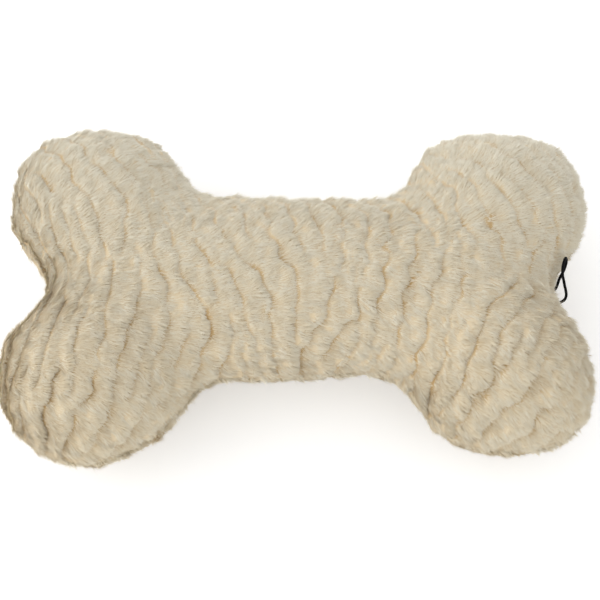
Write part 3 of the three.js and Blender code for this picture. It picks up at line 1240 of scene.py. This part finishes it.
    def shading(self, places: np.ndarray, faces: np.ndarray, normals: np.ndarray) -> np.ndarray:
        """Gives each corner the coat's normal, or its face's own where that face is turned away from it.

        Args:
            places: Vertices of each tuft.
            faces: Triangles of one tuft.
            normals: The coat's normal at each vertex.

        Returns:
            One normal for each corner of the mesh.
        """
        a, b, c = (places[:, faces[:, corner]] for corner in range(3))
        flat = unit(np.cross(b - a, c - a))[:, :, None]
        smooth = normals[:, faces]
        away = (smooth * flat).sum(3, keepdims=True) < self.turned_away
        return np.where(away, flat, smooth).reshape(-1, 3).astype(np.float32)

    def copies(self, name: str, places: np.ndarray, faces: np.ndarray) -> bpy.types.Mesh:
        """Writes one mesh that holds a copy of the tuft at each place.

        Args:
            name: Name of the mesh.
            places: Vertices of each tuft.
            faces: Triangles of one tuft.

        Returns:
            The mesh.
        """
        count, corners = places.shape[:2]
        mesh = bpy.data.meshes.new(name)
        mesh.vertices.add(count * corners)
        mesh.vertices.foreach_set("co", places.astype(np.float32).ravel())
        loops = (faces[None] + np.arange(count)[:, None, None] * corners).ravel()
        mesh.loops.add(len(loops))
        mesh.loops.foreach_set("vertex_index", loops.astype(np.int32))
        mesh.polygons.add(len(loops) // 3)
        mesh.polygons.foreach_set("loop_start", np.arange(0, len(loops), 3, dtype=np.int32))
        mesh.update(calc_edges=True)
        return mesh

    def map_tufts(
        self,
        mesh: bpy.types.Mesh,
        template: np.ndarray,
        faces: np.ndarray,
        tone: np.ndarray,
        depth: np.ndarray,
    ) -> None:
        """Writes the coat's map, a little spread out within each tuft, with painted shade at each base that
        fades towards its tip.

        Args:
            mesh: The coat.
            template: Vertices of one tuft.
            faces: Its triangles.
            tone: A tone from 0 to 1 for each tuft.
            depth: How far out of the pile each tuft starts, from 0 to 1, which sets its painted shade.
        """
        inside = 1 - 2 * self.map_edge
        wide, high, far = template.T
        across = self.map_edge + inside * tone[:, None] + self.map_width * high
        # The map climbs from the painted shade at each base towards the tip.
        along = depth[:, None] + self.tip_gain * far + self.map_skew * wide
        upwards = self.map_edge + inside * np.clip(along, 0, 1)
        write_map(mesh, np.stack([across, upwards], 2)[:, faces.ravel()])


def ridge_wave(mesh: bpy.types.Mesh) -> np.ndarray:
    """Reads the ridges that the comb left on a pile.

    Args:
        mesh: The pile.

    Returns:
        A complex number for each vertex, whose angle runs once round from valley to valley.
    """
    rows = np.empty((2, len(mesh.vertices)), np.float32)
    for row, name in zip(rows, ("ridge_cos", "ridge_sin")):
        mesh.attributes[name].data.foreach_get("value", row)
    return rows[0] + 1j * rows[1]


def ridge_place(wave: np.ndarray) -> tuple[np.ndarray, np.ndarray]:
    """Says how far each point is from one valley to the next, and how sure the ridge is there."""
    sure = np.clip((np.abs(wave) - UNSURE) / (SURE - UNSURE), 0, 1)
    return (np.angle(wave) / (2 * np.pi)) % 1.0, sure


def combed(mesh: bpy.types.Mesh) -> np.ndarray:
    """Reads the direction of the pile at each vertex."""
    return unit(rows_of(mesh.attributes["comb"].data, "vector"))


@dataclass
class Carving:
    """What carving did at each vertex of a pile: its depth, share of a lip, tone and normal before."""

    depth: np.ndarray
    lip: np.ndarray
    tone: np.ndarray
    upright: np.ndarray


@dataclass
class Carver:
    """Carves the valleys, rolls each ridge over the next valley and presses in a nest for the loop."""

    side: Side
    cut: float = 2.7 * MM
    overhang: float = 2.3 * MM
    patch: float = 30 * MM
    top_share: float = 0.85
    flank_share: float = 0.5
    end_ease: float = 0.6
    end_turn: float = 0.3
    seam_share: float = 0.3
    plain: float = 0.65
    skew: float = 1.6
    fullness: float = 0.7
    valley: float = 0.24
    lip_edge: int = 6
    lumps: float = 0.8 * MM
    lump_size: float = 12 * MM
    top_lumps: float = 0.4
    tone_size: float = 9 * MM
    seam_fade: float = 3 * MM
    lump_fade: float = 5 * MM
    seam_clear: float = 1 * MM
    nest: float = 1.4 * MM
    nest_y: float = 2 * MM
    nest_rise: float = 12 * MM
    nest_radius: float = 11 * MM

    def strength(self, points: np.ndarray, normals: np.ndarray, rng: np.random.Generator) -> np.ndarray:
        """Sets how deep the carving goes: deeper on flanks and warm fur, less at the seam and the left end.

        Args:
            points: Points on the pile.
            normals: Their normals.
            rng: Source of the random numbers.

        Returns:
            A share of the full depth for each point.
        """
        patches = drift(points, self.patch, rng)
        strength = graded(patches, middle=0.75, slope=0.4, low=0.25, high=1.0)
        strength *= graded(warmth(points), middle=0.78, slope=0.15, low=0.55, high=1.0)
        strength *= self.top_share + self.flank_share * (1 - np.abs(normals[:, 2]))
        strength *= 1 - self.end_ease * np.clip(-normals[:, 0] - self.end_turn, 0, 1)
        return strength * np.clip(np.abs(points[:, 2] - SEAM_Z) / self.seam_fade, self.seam_share, 1)

    def dents(self, points: np.ndarray, normals: np.ndarray, rng: np.random.Generator) -> np.ndarray:
        """Makes the lumps of the pile, mainly on the flanks, and the loop's nest.

        Args:
            points: Points on the pile.
            normals: Their normals.
            rng: Source of the random numbers.

        Returns:
            How far each point moves out.
        """
        lumps = self.lumps * (self.top_lumps + 1 - np.abs(normals[:, 2]))
        lumps *= np.clip(np.abs(points[:, 2] - SEAM_Z) / self.lump_fade, 0, 1)
        lumps *= drift(points, self.lump_size, rng)
        aside = (points[:, 1:] - (self.nest_y, SEAM_Z + self.nest_rise)) / self.nest_radius
        return lumps - self.nest * np.exp(-(aside**2).sum(1)) * (points[:, 0] > NOTCH_X)

    def carve(self, mesh: bpy.types.Mesh, outside: np.ndarray) -> Carving:
        """Carves a walled pile.

        Args:
            mesh: The pile.
            outside: Whether each vertex is on the outside.

        Returns:
            The carving at each vertex.
        """
        rng = np.random.default_rng(SEED * 3 + self.side.value)
        points, normals = points_of(mesh), normals_of(mesh)
        along, sure = ridge_place(ridge_wave(mesh))
        strength = self.strength(points, normals, rng)
        ridge = np.sin(np.pi * along**self.skew) ** self.fullness
        height = self.plain + sure * (ridge - self.plain)
        sunk = (height - 1) * strength * self.cut + self.dents(points, normals, rng)
        rolled = height * strength * self.overhang
        shift = normals * sunk[:, None] + combed(mesh) * rolled[:, None]
        carved = points.copy()
        carved[outside] += shift[outside]
        before, after = (np.abs(places[:, 2] - SEAM_Z) for places in (points, carved))
        clear = np.maximum(after, np.minimum(before, self.seam_clear))
        carved[:, 2] = SEAM_Z + self.side.value * clear
        move_points(mesh, carved)
        # Depth also sets the fur's painted shade, darkest at the bottom of each valley.
        depth = 1 - np.minimum(sure * strength, 1) * np.exp(-((along / self.valley) ** 2))
        return Carving(depth, sure * along**self.lip_edge, drift(points, self.tone_size, rng), normals)


@dataclass
class FurPanel:
    """One half of the cover: its carved pile, the coat of tufts on it and the backing behind it."""

    side: Side
    tufts: int
    seam_gap: float = 0.3 * MM
    pile: float = 3.6 * MM
    crowding: float = 1.2
    backing: float = 1.0 * MM
    backing_gap: float = 0.2 * MM
    allowance: float = 7 * MM
    mouth: float = 0.75 * MM
    mouth_y: float = -3.4 * MM
    mouth_half: float = 4.5 * MM
    mouth_fade: float = 4 * MM
    unsure_place: float = 0.4
    steep: float = 0.4
    undercut: float = 0.15
    seam_cover: float = 4 * MM
    seam_lean: float = 1.2
    facing_share: float = 0.8
    tone: float = 0.5
    tone_drift: float = 0.25
    # Painted shade of the bare pile: the share of the ramp it reaches, and how much darker its lips are.
    pile_depth: float = 0.3
    lip_shade: float = 0.6
    map_edge: float = 0.02
    columns: tuple[float, ...] = (-75 * MM, 0.0, 75 * MM)

    @property
    def level(self) -> float:
        """Height of the panel's cut edge."""
        return SEAM_Z + self.side.value * self.seam_gap / 2

    def build(self, form: bpy.types.Object, finishes: "Finishes") -> list[bpy.types.Object]:
        """Cuts the panel from the form, carves its ridges, grows its coat and lines it.

        Args:
            form: The stuffed form.
            finishes: Materials of the toy.

        Returns:
            The pile, the backing and the pieces of the coat.
        """
        pile = show(f"{self.side.word}_pile", self.cut(form.data))
        backing = self.line(form.data)
        self.comb(pile)
        outside = self.thicken(pile)
        carving = Carver(self.side).carve(pile.data, outside)
        coats = self.grow(self.scatter(pile.data, outside, carving))
        self.map_pile(pile.data, carving)
        shade_smooth(pile.data)
        for piece in (pile, *coats):
            piece.data.materials.append(finishes.fur)
        backing.data.materials.append(finishes.knit)
        return [pile, backing, *coats]

    def cut(self, mesh: bpy.types.Mesh) -> bpy.types.Mesh:
        """Cuts the form at the seam, keeps this side and opens its edge where the loop comes out.

        Args:
            mesh: The stuffed form.

        Returns:
            The open skin of the panel.
        """
        shape = opened(mesh)
        bmesh.ops.bisect_plane(
            shape,
            geom=[*shape.verts, *shape.edges, *shape.faces],
            plane_co=(0, 0, self.level),
            plane_no=(0, 0, self.side.value),
            clear_inner=True,
        )
        skin = closed(shape, bpy.data.meshes.new(f"{self.side.word}_pile"))
        move_points(skin, self.open_mouth(points_of(skin)))
        return skin

    def open_mouth(self, points: np.ndarray) -> np.ndarray:
        """Lifts the seam's edge round the legs of the hanging loop.

        Args:
            points: Points on the panel.

        Returns:
            The lifted points.
        """
        off = np.abs(points[:, 1] - self.mouth_y) - self.mouth_half
        off = np.clip(off / self.mouth_fade, 0, 1)
        near = np.clip(1 - np.abs(points[:, 2] - self.level) / self.mouth_fade, 0, 1)
        share = (1 + np.cos(np.pi * off)) / 2 * near * (points[:, 0] > NOTCH_X)
        lifted = points.copy()
        lifted[:, 2] += self.side.value * self.mouth * share
        return lifted

    def line(self, form: bpy.types.Mesh) -> bpy.types.Object:
        """Makes the backing, which lines the pile and turns in along the seam.

        Args:
            form: The stuffed form.

        Returns:
            The backing.
        """
        shape = opened(self.cut(form))
        shape.normal_update()
        edges = [edge for edge in shape.edges if edge.is_boundary]
        rim = {vertex for edge in edges for vertex in edge.verts}
        for vertex in shape.verts:
            inward = -vertex.normal
            if vertex in rim:
                inward.z = 0.0
                inward.normalize()
            vertex.co += inward * (self.pile + self.backing_gap)
        inwards = {
            vertex.co.copy().freeze(): Vector((-vertex.normal.x, -vertex.normal.y, 0)).normalized()
            for vertex in rim
        }
        turned = bmesh.ops.extrude_edge_only(shape, edges=edges)["geom"]
        for vertex in turned:
            if isinstance(vertex, bmesh.types.BMVert):
                vertex.co += inwards[vertex.co.copy().freeze()] * self.allowance
        bmesh.ops.recalc_face_normals(shape, faces=shape.faces)
        name = f"{self.side.word}_backing"
        backing = show(name, closed(shape, bpy.data.meshes.new(name)))
        self.face_out(backing.data)
        give_wall(backing, self.backing)
        shade_smooth(backing.data)
        return backing

    def face_out(self, mesh: bpy.types.Mesh) -> None:
        """Turns an open skin so that its crown faces away from the seam.

        Args:
            mesh: The skin.
        """
        points, normals = points_of(mesh), normals_of(mesh)
        crown = np.argmax(points[:, 2] * self.side.value)
        if normals[crown, 2] * self.side.value < 0:
            mesh.flip_normals()

    def comb(self, pile: bpy.types.Object) -> None:
        """Rounds the open skin, combs its pile and grows its ridges.

        Args:
            pile: The open skin.
        """
        rounding = pile.modifiers.new("rounding", "SUBSURF")
        rounding.levels = rounding.render_levels = 1
        apply_modifiers(pile)
        points, normals = points_of(pile.data), normals_of(pile.data)
        comb = CombField().directions(points, normals, self.side)
        wave = RidgePattern().phase(points, normals, comb, SEED + self.side.value)
        for name, values in (("ridge_cos", wave.real), ("ridge_sin", wave.imag)):
            layer = pile.data.attributes.new(name, "FLOAT", "POINT")
            layer.data.foreach_set("value", values.astype(np.float32))
        layer = pile.data.attributes.new("comb", "FLOAT_VECTOR", "POINT")
        layer.data.foreach_set("vector", comb.astype(np.float32).ravel())

    def thicken(self, pile: bpy.types.Object) -> np.ndarray:
        """Gives the skin its wall, and the outside of the wall a finer mesh.

        Args:
            pile: The combed skin.

        Returns:
            Whether each vertex of the wall is on the outside.
        """
        count, faces = len(pile.data.vertices), len(pile.data.polygons)
        give_wall(pile, self.pile)
        shape = opened(pile.data)
        shape.faces.ensure_lookup_table()
        edges = {edge.index: edge for face in shape.faces[:faces] for edge in face.edges}
        bmesh.ops.subdivide_edges(shape, edges=list(edges.values()), cuts=1, use_grid_fill=True)
        closed(shape, pile.data)
        number = np.arange(len(pile.data.vertices))
        return (number < count) | (number >= 2 * count)

    def scatter(self, mesh: bpy.types.Mesh, outside: np.ndarray, carving: Carving) -> Roots:
        """Spreads the roots of the tufts over the outside of the carved pile, closer in its valleys.

        Args:
            mesh: The carved pile.
            outside: Whether each of its vertices is on the outside.
            carving: The carving at its vertices.

        Returns:
            The roots.
        """
        rng = np.random.default_rng(SEED * 5 + self.side.value)
        mesh.calc_loop_triangles()
        corners = rows_of(mesh.loop_triangles, "vertices", np.int32)
        corners = corners[outside[corners].all(1)]
        points, normals = points_of(mesh), normals_of(mesh)
        a, b, c = (points[corners[:, k]] for k in range(3))
        crowd = 1 + self.crowding * (1 - carving.depth + carving.lip)[corners].mean(1)
        ends = np.cumsum(np.linalg.norm(np.cross(b - a, c - a), axis=1) * crowd)
        picks = (np.arange(self.tufts) + rng.random(self.tufts)) / self.tufts * ends[-1]
        chosen = corners[np.minimum(np.searchsorted(ends, picks), len(corners) - 1)]
        parts = rng.random((self.tufts, 2))
        parts = np.where(parts.sum(1, keepdims=True) > 1, 1 - parts, parts)
        shares = np.column_stack([1 - parts.sum(1), parts])

        def between(values: np.ndarray) -> np.ndarray:
            """Blends the corners' values at each root."""
            return np.einsum("nk,nk...->n...", shares, values[chosen])

        along, sure = ridge_place(between(ridge_wave(mesh)))
        along = self.unsure_place + sure * (along - self.unsure_place)
        carved, before = unit(between(normals)), unit(between(carving.upright))
        lean = along_surface(between(combed(mesh)), before)
        falling = np.clip((carved * lean).sum(1) / self.steep, 0, 1)
        jutting = np.where((carved * before).sum(1) < self.undercut, 1.0, falling)[:, None]
        upright = unit(carved * (1 - jutting) + before * jutting)
        places = between(points)
        over = np.clip(1 - np.abs(places[:, 2] - SEAM_Z) / self.seam_cover, 0, 1)
        lean[:, 2] -= self.seam_lean * self.side.value * over
        lean = along_surface(lean, upright)
        facing = unit(before + self.facing_share * upright)
        depth, tone = between(carving.depth), between(carving.tone)
        return Roots(places, upright, facing, lean, depth, tone, along)

    def grow(self, roots: Roots) -> list[bpy.types.Object]:
        """Grows the coat in pieces, in rows and columns.

        Args:
            roots: All roots of the panel.

        Returns:
            The pieces of the coat.
        """
        rng = np.random.default_rng(SEED * 9 + self.side.value)
        column = np.searchsorted(self.columns, roots.points[:, 0])
        words = ("left_knob", "left_shaft", "right_shaft", "right_knob")
        coats = []
        for number, word in enumerate(words):
            for row, behind in (("rear", True), ("front", False)):
                chosen = (column == number) & ((roots.points[:, 1] >= 0) == behind)
                name = f"{self.side.word}_coat_{row}_{word}"
                coats.append(FurCoat().build(name, roots.some(chosen), rng))
        return coats

    def map_pile(self, mesh: bpy.types.Mesh, carving: Carving) -> None:
        """Writes the pile's own map, with painted shade: darker in its valleys and at its lips.

        Args:
            mesh: The carved pile.
            carving: The carving at its vertices.
        """
        corners = np.empty(len(mesh.loops), np.int32)
        mesh.loops.foreach_get("vertex_index", corners)
        tone = self.tone + self.tone_drift * (carving.tone - warmth(points_of(mesh)))
        # Painted shade: the bare pile stays low on the ramp, as under the coat's shadow, and darker still
        # at the lips.
        depth = self.pile_depth * carving.depth**2 * (1 - self.lip_shade * carving.lip)
        across = np.clip(tone, self.map_edge, 1 - self.map_edge)
        write_map(mesh, np.column_stack([across, self.map_edge + depth])[corners])


@dataclass
class HangLoop:
    """Cord loop that comes out of the seam in the right-hand notch, with its route in millimetres."""

    diameter: float = 1.5 * MM
    length: float = 50.2 * MM
    notch: float = 131.15 * MM
    fineness: int = 4
    steps: int = 8
    front: Place = (133.96, -6.8, 0)
    rear: Place = (131.45, 0, 0)
    route: tuple[Place, ...] = (
        (3.8, -6.4, 0.3),
        (4.8, -5.9, 0.9),
        (5.6, -5, 1.9),
        (5.8, -3.8, 3.3),
        (5.3, -2.2, 5.4),
        (4.5, -0.5, 7.5),
        (3.8, 1.1, 9.8),
        (3, 2.8, 12.1),
        (2.7, 4.6, 14.2),
        (2.8, 6.6, 15.9),
        (3.4, 8.9, 16.3),
        (4.3, 11, 15.4),
        (5.2, 12.1, 13.4),
        (5.7, 11.6, 11.1),
        (5.5, 10, 9.3),
        (4.7, 7.9, 8.1),
        (3.4, 5.7, 7),
        (2.3, 3.7, 5.8),
        (1.7, 2, 4.2),
        (1.2, 0.8, 2.3),
    )

    def build(self, finishes: "Finishes") -> bpy.types.Object:
        """Makes the loop along its route.

        Args:
            finishes: Materials of the toy.

        Returns:
            The loop.
        """
        origin = np.array((self.notch, 0, SEAM_Z))
        level = np.array((0, 0, SEAM_Z))
        points = [np.array(self.front) * MM + level]
        points += [np.array(step) * MM + origin for step in self.route]
        points += [np.array(self.rear) * MM + level]
        path = self.smooth(np.array(points))
        curve = round_curve("hang_loop_cord", self.diameter, self.fineness)
        add_run(curve, path, ring=False)
        curve.materials.append(finishes.cord)
        cord = show("hang_loop_cord", curve)
        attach(cord, "hang_loop")
        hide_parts("hang_loop")
        return cord

    def smooth(self, points: np.ndarray) -> np.ndarray:
        """Runs a smooth curve through the route's points.

        Args:
            points: The route.

        Returns:
            Points close together along the curve.
        """
        ends = np.vstack([2 * points[0] - points[1], points, 2 * points[-1] - points[-2]])
        gaps = np.sqrt(np.linalg.norm(np.diff(ends, axis=0), axis=1))
        times = np.concatenate([[0], np.cumsum(gaps)])
        path = []
        for i in range(1, len(ends) - 2):
            t0, t1, t2, t3 = times[i - 1 : i + 3]
            p0, p1, p2, p3 = ends[i - 1 : i + 3]
            for t in np.linspace(t1, t2, self.steps, endpoint=False):
                a1 = (t1 - t) / (t1 - t0) * p0 + (t - t0) / (t1 - t0) * p1
                a2 = (t2 - t) / (t2 - t1) * p1 + (t - t1) / (t2 - t1) * p2
                a3 = (t3 - t) / (t3 - t2) * p2 + (t - t2) / (t3 - t2) * p3
                b1 = (t2 - t) / (t2 - t0) * a1 + (t - t0) / (t2 - t0) * a2
                b2 = (t3 - t) / (t3 - t1) * a2 + (t - t1) / (t3 - t1) * a3
                path.append((t2 - t) / (t2 - t1) * b1 + (t - t1) / (t2 - t1) * b2)
        return np.array([*path, points[-1]])


@dataclass
class LoopKnot:
    """Overhand knot inside the seam, with the loop's tails running out to their exits, in millimetres."""

    diameter: float = 1.5 * MM
    knot: tuple[float, float] = (103.2, -3.4)
    radius: float = 2.3 * MM
    exits: tuple[tuple[float, float], ...] = ((133.06, -6.8), (130.55, 0.0))
    fineness: int = 4
    knot_steps: int = 96
    tail_steps: int = 24

    def build(self, finishes: "Finishes") -> bpy.types.Object:
        """Winds the knot and joins the tails to it.

        Args:
            finishes: Materials of the toy.

        Returns:
            The knot.
        """
        centre = np.array((*(np.array(self.knot) * MM), SEAM_Z))
        curve = round_curve("loop_knot", self.diameter, self.fineness)
        add_run(curve, centre + self.winding(), ring=True)
        meeting = centre + np.array((1.5 * self.radius, 0, 0))
        share = np.linspace(0, 1, self.tail_steps)[:, None]
        sideways = np.sin(np.pi * share / 2) ** 2
        for x, y in self.exits:
            end = np.array((x * MM, y * MM, SEAM_Z))
            tail = meeting + (end - meeting) * np.hstack([share, sideways, share])
            add_run(curve, tail, ring=False)
        return swept("loop_knot", curve, finishes.cord)

    def winding(self) -> np.ndarray:
        """Works out the knot's closed path about its centre.

        Returns:
            Points along it.
        """
        turn = np.linspace(0, 4 * np.pi, self.knot_steps, endpoint=False)
        out = self.radius * (2 + np.cos(1.5 * turn)) / 2
        rise = self.radius * np.sin(1.5 * turn) / 2
        return np.stack([out * np.cos(turn), out * np.sin(turn), rise], 1)


@dataclass
class SeamThread:
    """Thread of the lockstitch on one side of the seam allowance."""

    side: Side
    diameter: float = 0.6 * MM
    stitch: float = 3 * MM
    inset: float = 6.2 * MM
    height: float = 1.45 * MM
    evening: int = 6
    shares: tuple[float, ...] = (0, 0.14, 0.5, 0.86)
    dips: tuple[float, ...] = (-0.5 * MM, 0, 0.1 * MM, 0)

    def build(self, panel: FurPanel, form: bpy.types.Object, finishes: "Finishes") -> bpy.types.Object:
        """Sews the thread along the panel's edge.

        Args:
            panel: The panel on this side.
            form: The stuffed form.
            finishes: Materials of the toy.

        Returns:
            The thread.
        """
        name = f"{self.side.word}_stitching"
        curve = round_curve(name, self.diameter, fineness=1)
        add_run(curve, self.stitches(self.outline(panel.cut(form.data))), ring=True)
        piece = swept(name, curve, finishes.thread)
        shade_smooth(piece.data)
        return piece

    def outline(self, skin: bpy.types.Mesh) -> np.ndarray:
        """Walks round the skin's edge and draws it in to the stitch line.

        Args:
            skin: The open skin of the panel.

        Returns:
            Points of the closed stitch line, in plan.
        """
        shape = opened(skin)
        shape.normal_update()
        follows = {}
        for edge in shape.edges:
            if edge.is_boundary:
                first, second = edge.verts
                follows.setdefault(first, []).append(second)
                follows.setdefault(second, []).append(first)
        start = max(follows, key=lambda vertex: vertex.co.y)
        before, here = None, start
        walked = []
        while here is not start or before is None:
            inward = Vector((-here.normal.x, -here.normal.y, 0)).normalized()
            walked.append((here.co + inward * self.inset).xy)
            before, here = here, next(vertex for vertex in follows[here] if vertex is not before)
        points = np.array(walked)
        shape.free()
        for _ in range(self.evening):
            points = (np.roll(points, 1, 0) + 2 * points + np.roll(points, -1, 0)) / 4
        return points

    def stitches(self, outline: np.ndarray) -> np.ndarray:
        """Runs the thread along the stitch line, down into the cloth at each end of a stitch.

        Args:
            outline: Points of the closed stitch line, in plan.

        Returns:
            Points along the thread.
        """
        ring = np.vstack([outline, outline[:1]])
        places = np.concatenate([[0], np.cumsum(np.linalg.norm(np.diff(ring, axis=0), axis=1))])
        count = round(places[-1] / self.stitch)
        shares = (np.arange(count)[:, None] + np.array(self.shares)).ravel() / count
        plan = np.stack([np.interp(shares * places[-1], places, ring[:, k]) for k in range(2)], 1)
        dips = np.tile(self.dips, count)
        return np.column_stack([plan, SEAM_Z + self.side.value * (self.height + dips)])


@dataclass
class Stuffing:
    """One wad of loose fibre: lumpy, and soft all round."""

    node: str
    voxel: float = 3 * MM
    draw: float = 0.9 * MM
    lumps: float = 1.1 * MM
    lump_size: float = 16 * MM
    smoothing: int = 5

    def build(self, finishes: "Finishes") -> bpy.types.Object:
        """Makes the wad in the place of its solid.

        Args:
            finishes: Materials of the toy.

        Returns:
            The wad.
        """
        wad = remeshed(f"{self.node}_fibre", (self.node,), self.voxel)
        shape = opened(wad.data)
        soften(shape, self.smoothing)
        closed(shape, wad.data)
        rng = np.random.default_rng(SEED + sum(map(ord, self.node)))
        points, normals = points_of(wad.data), normals_of(wad.data)
        lumps = (1 + drift(points, self.lump_size, rng)) / 2
        sunk = self.draw + self.lumps * np.clip(lumps, 0, 1)
        move_points(wad.data, HandShaping().moved(points - normals * sunk[:, None]))
        shade_smooth(wad.data)
        wad.data.materials.append(finishes.fibre)
        return wad


@dataclass
class SqueakerBulb:
    """Blow-moulded bulb of the squeaker, in millimetres, with a rim and a necked hole in its crown."""

    radius: float = 25.0
    half_height: float = 13.0
    wall: float = 1.2
    crown: float = 7.0
    rim: float = 1.2
    rim_half: float = 0.8
    hole: float = 3.9
    neck: float = 3.0
    steps: int = 14
    sides: int = 72

    def quarter(self, draw: float, start: float) -> list[tuple[float, float]]:
        """Draws a quarter of the bulb's outline, from its waist up to its crown.

        Args:
            draw: How far the outline is drawn in.
            start: Height that it starts at.

        Returns:
            Radius and height of each point.
        """
        height = self.half_height - draw
        angles = np.linspace(math.asin(start / height), math.pi / 2, self.steps)
        across = self.crown + (self.radius - draw - self.crown) * np.cos(angles)
        return list(zip(across.tolist(), (height * np.sin(angles)).tolist()))

    def profile(self) -> list[tuple[float, float]]:
        """Draws the bulb's whole section, from its axis inside to its axis outside.

        Returns:
            Radius and height of each point.
        """
        roof = self.half_height - self.wall
        inner = self.quarter(self.wall, 0.0)
        outer = self.quarter(0.0, self.rim_half)
        edge = self.radius + self.rim
        soft = self.rim_half * 0.5
        return [
            (0, -roof),
            *((r, -z) for r, z in reversed(inner)),
            *inner[1:],
            (self.hole + self.wall, roof),
            (self.hole + self.wall, roof - self.neck),
            (self.hole, roof - self.neck),
            (self.hole, self.half_height),
            *reversed(outer),
            (edge - soft, self.rim_half),
            (edge, self.rim_half - soft),
            (edge, soft - self.rim_half),
            (edge - soft, -self.rim_half),
            *((r, -z) for r, z in outer),
            (0, -self.half_height),
        ]

    def build(self, finishes: "Finishes") -> bpy.types.Object:
        """Spins the bulb.

        Args:
            finishes: Materials of the toy.

        Returns:
            The bulb.
        """
        shape = bmesh.new()
        points = [shape.verts.new((r * MM, 0, SEAM_Z + z * MM)) for r, z in self.profile()]
        edges = [shape.edges.new(pair) for pair in zip(points, points[1:])]
        bmesh.ops.spin(
            shape,
            geom=[*points, *edges],
            cent=(0, 0, 0),
            axis=(0, 0, 1),
            angle=2 * math.pi,
            steps=self.sides,
            use_merge=True,
        )
        bmesh.ops.remove_doubles(shape, verts=shape.verts, dist=MERGE / 2)
        bmesh.ops.recalc_face_normals(shape, faces=shape.faces)
        mesh = closed(shape, bpy.data.meshes.new("soft_bulb"))
        shade_smooth(mesh)
        mesh.materials.append(finishes.soft_plastic)
        return show("soft_bulb", mesh)


class Finishes:
    """The toy's materials, each made once."""

    def __init__(self) -> None:
        """Makes the materials."""
        self.fur = FurFinish().material()
        self.cord = CordFinish().material()
        self.knit = KnitFinish().material()
        self.fibre = FibreFinish().material()
        self.thread = ThreadFinish().material()
        self.soft_plastic = PlasticFinish(
            "soft_plastic", srgb(233, 230, 218), srgb(222, 216, 198), 0.45
        ).material()
        self.hard_plastic = PlasticFinish(
            "hard_plastic", srgb(242, 242, 238), srgb(230, 230, 226), 0.3
        ).material()
        self.film = PlasticFinish("reed_film", srgb(201, 212, 220), srgb(190, 202, 212), 0.2).material()


@dataclass
class Squeeze:
    """Settings for how the soft pieces would give when the squeaker is pressed; nothing here reads them."""

    joint: str = "squeeze"
    cover_keep: float = 0.68
    knob_keep: float = 0.84
    bulb_keep: float = 0.77
    knob_foot: float = 6.8 * MM

    def press(self, piece: bpy.types.Object) -> None:
        """Gives a piece its own copy of its mesh.

        Args:
            piece: The soft piece.
        """
        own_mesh(piece)


def main() -> None:
    """Builds the toy's pieces and its stage."""
    logging.basicConfig(level=logging.INFO, format="%(message)s")
    Studio().build()
    finishes = Finishes()
    squeeze = Squeeze()
    made = [HangLoop().build(finishes)]

    knot = LoopKnot().build(finishes)
    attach(knot, TOY)
    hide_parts("hang_loop_knot")
    made.append(knot)

    form = StuffedForm().build()
    for side, node, thread, tufts in (
        (Side.TOP, TOP_PANEL, "needle_thread", 255_000),
        (Side.BOTTOM, BOTTOM_PANEL, "bobbin_thread", 110_000),
    ):
        panel = FurPanel(side, tufts)
        pile, backing, *coats = panel.build(form, finishes)
        stitching = SeamThread(side).build(panel, form, finishes)
        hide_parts(node)
        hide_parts(thread)
        for piece in (pile, backing, stitching, *coats):
            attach(piece, TOY)
            if side is Side.TOP:
                squeeze.press(piece)
            made.append(piece)
    bpy.data.objects.remove(form)

    for node in (*SHAFT_FILLS, *KNOB_FILLS):
        wad = Stuffing(node).build(finishes)
        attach(wad, TOY)
        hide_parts(node)
        if node in KNOB_FILLS:
            squeeze.press(wad)
        elif node == SHAFT_FILLS[0]:
            squeeze.press(wad)
        made.append(wad)

    bulb = SqueakerBulb().build(finishes)
    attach(bulb, TOY)
    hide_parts("squeaker_bulb")
    squeeze.press(bulb)
    made.append(bulb)

    for node, material in (
        ("reed_sleeve", finishes.hard_plastic),
        ("reed_bed", finishes.hard_plastic),
        ("reed", finishes.film),
    ):
        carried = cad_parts[node]
        for slot in carried.material_slots:
            slot.material = material
        made.append(carried)

    for piece in made:
        LOG.info("made %s", piece.name)


if __name__ == "__main__":
    main()
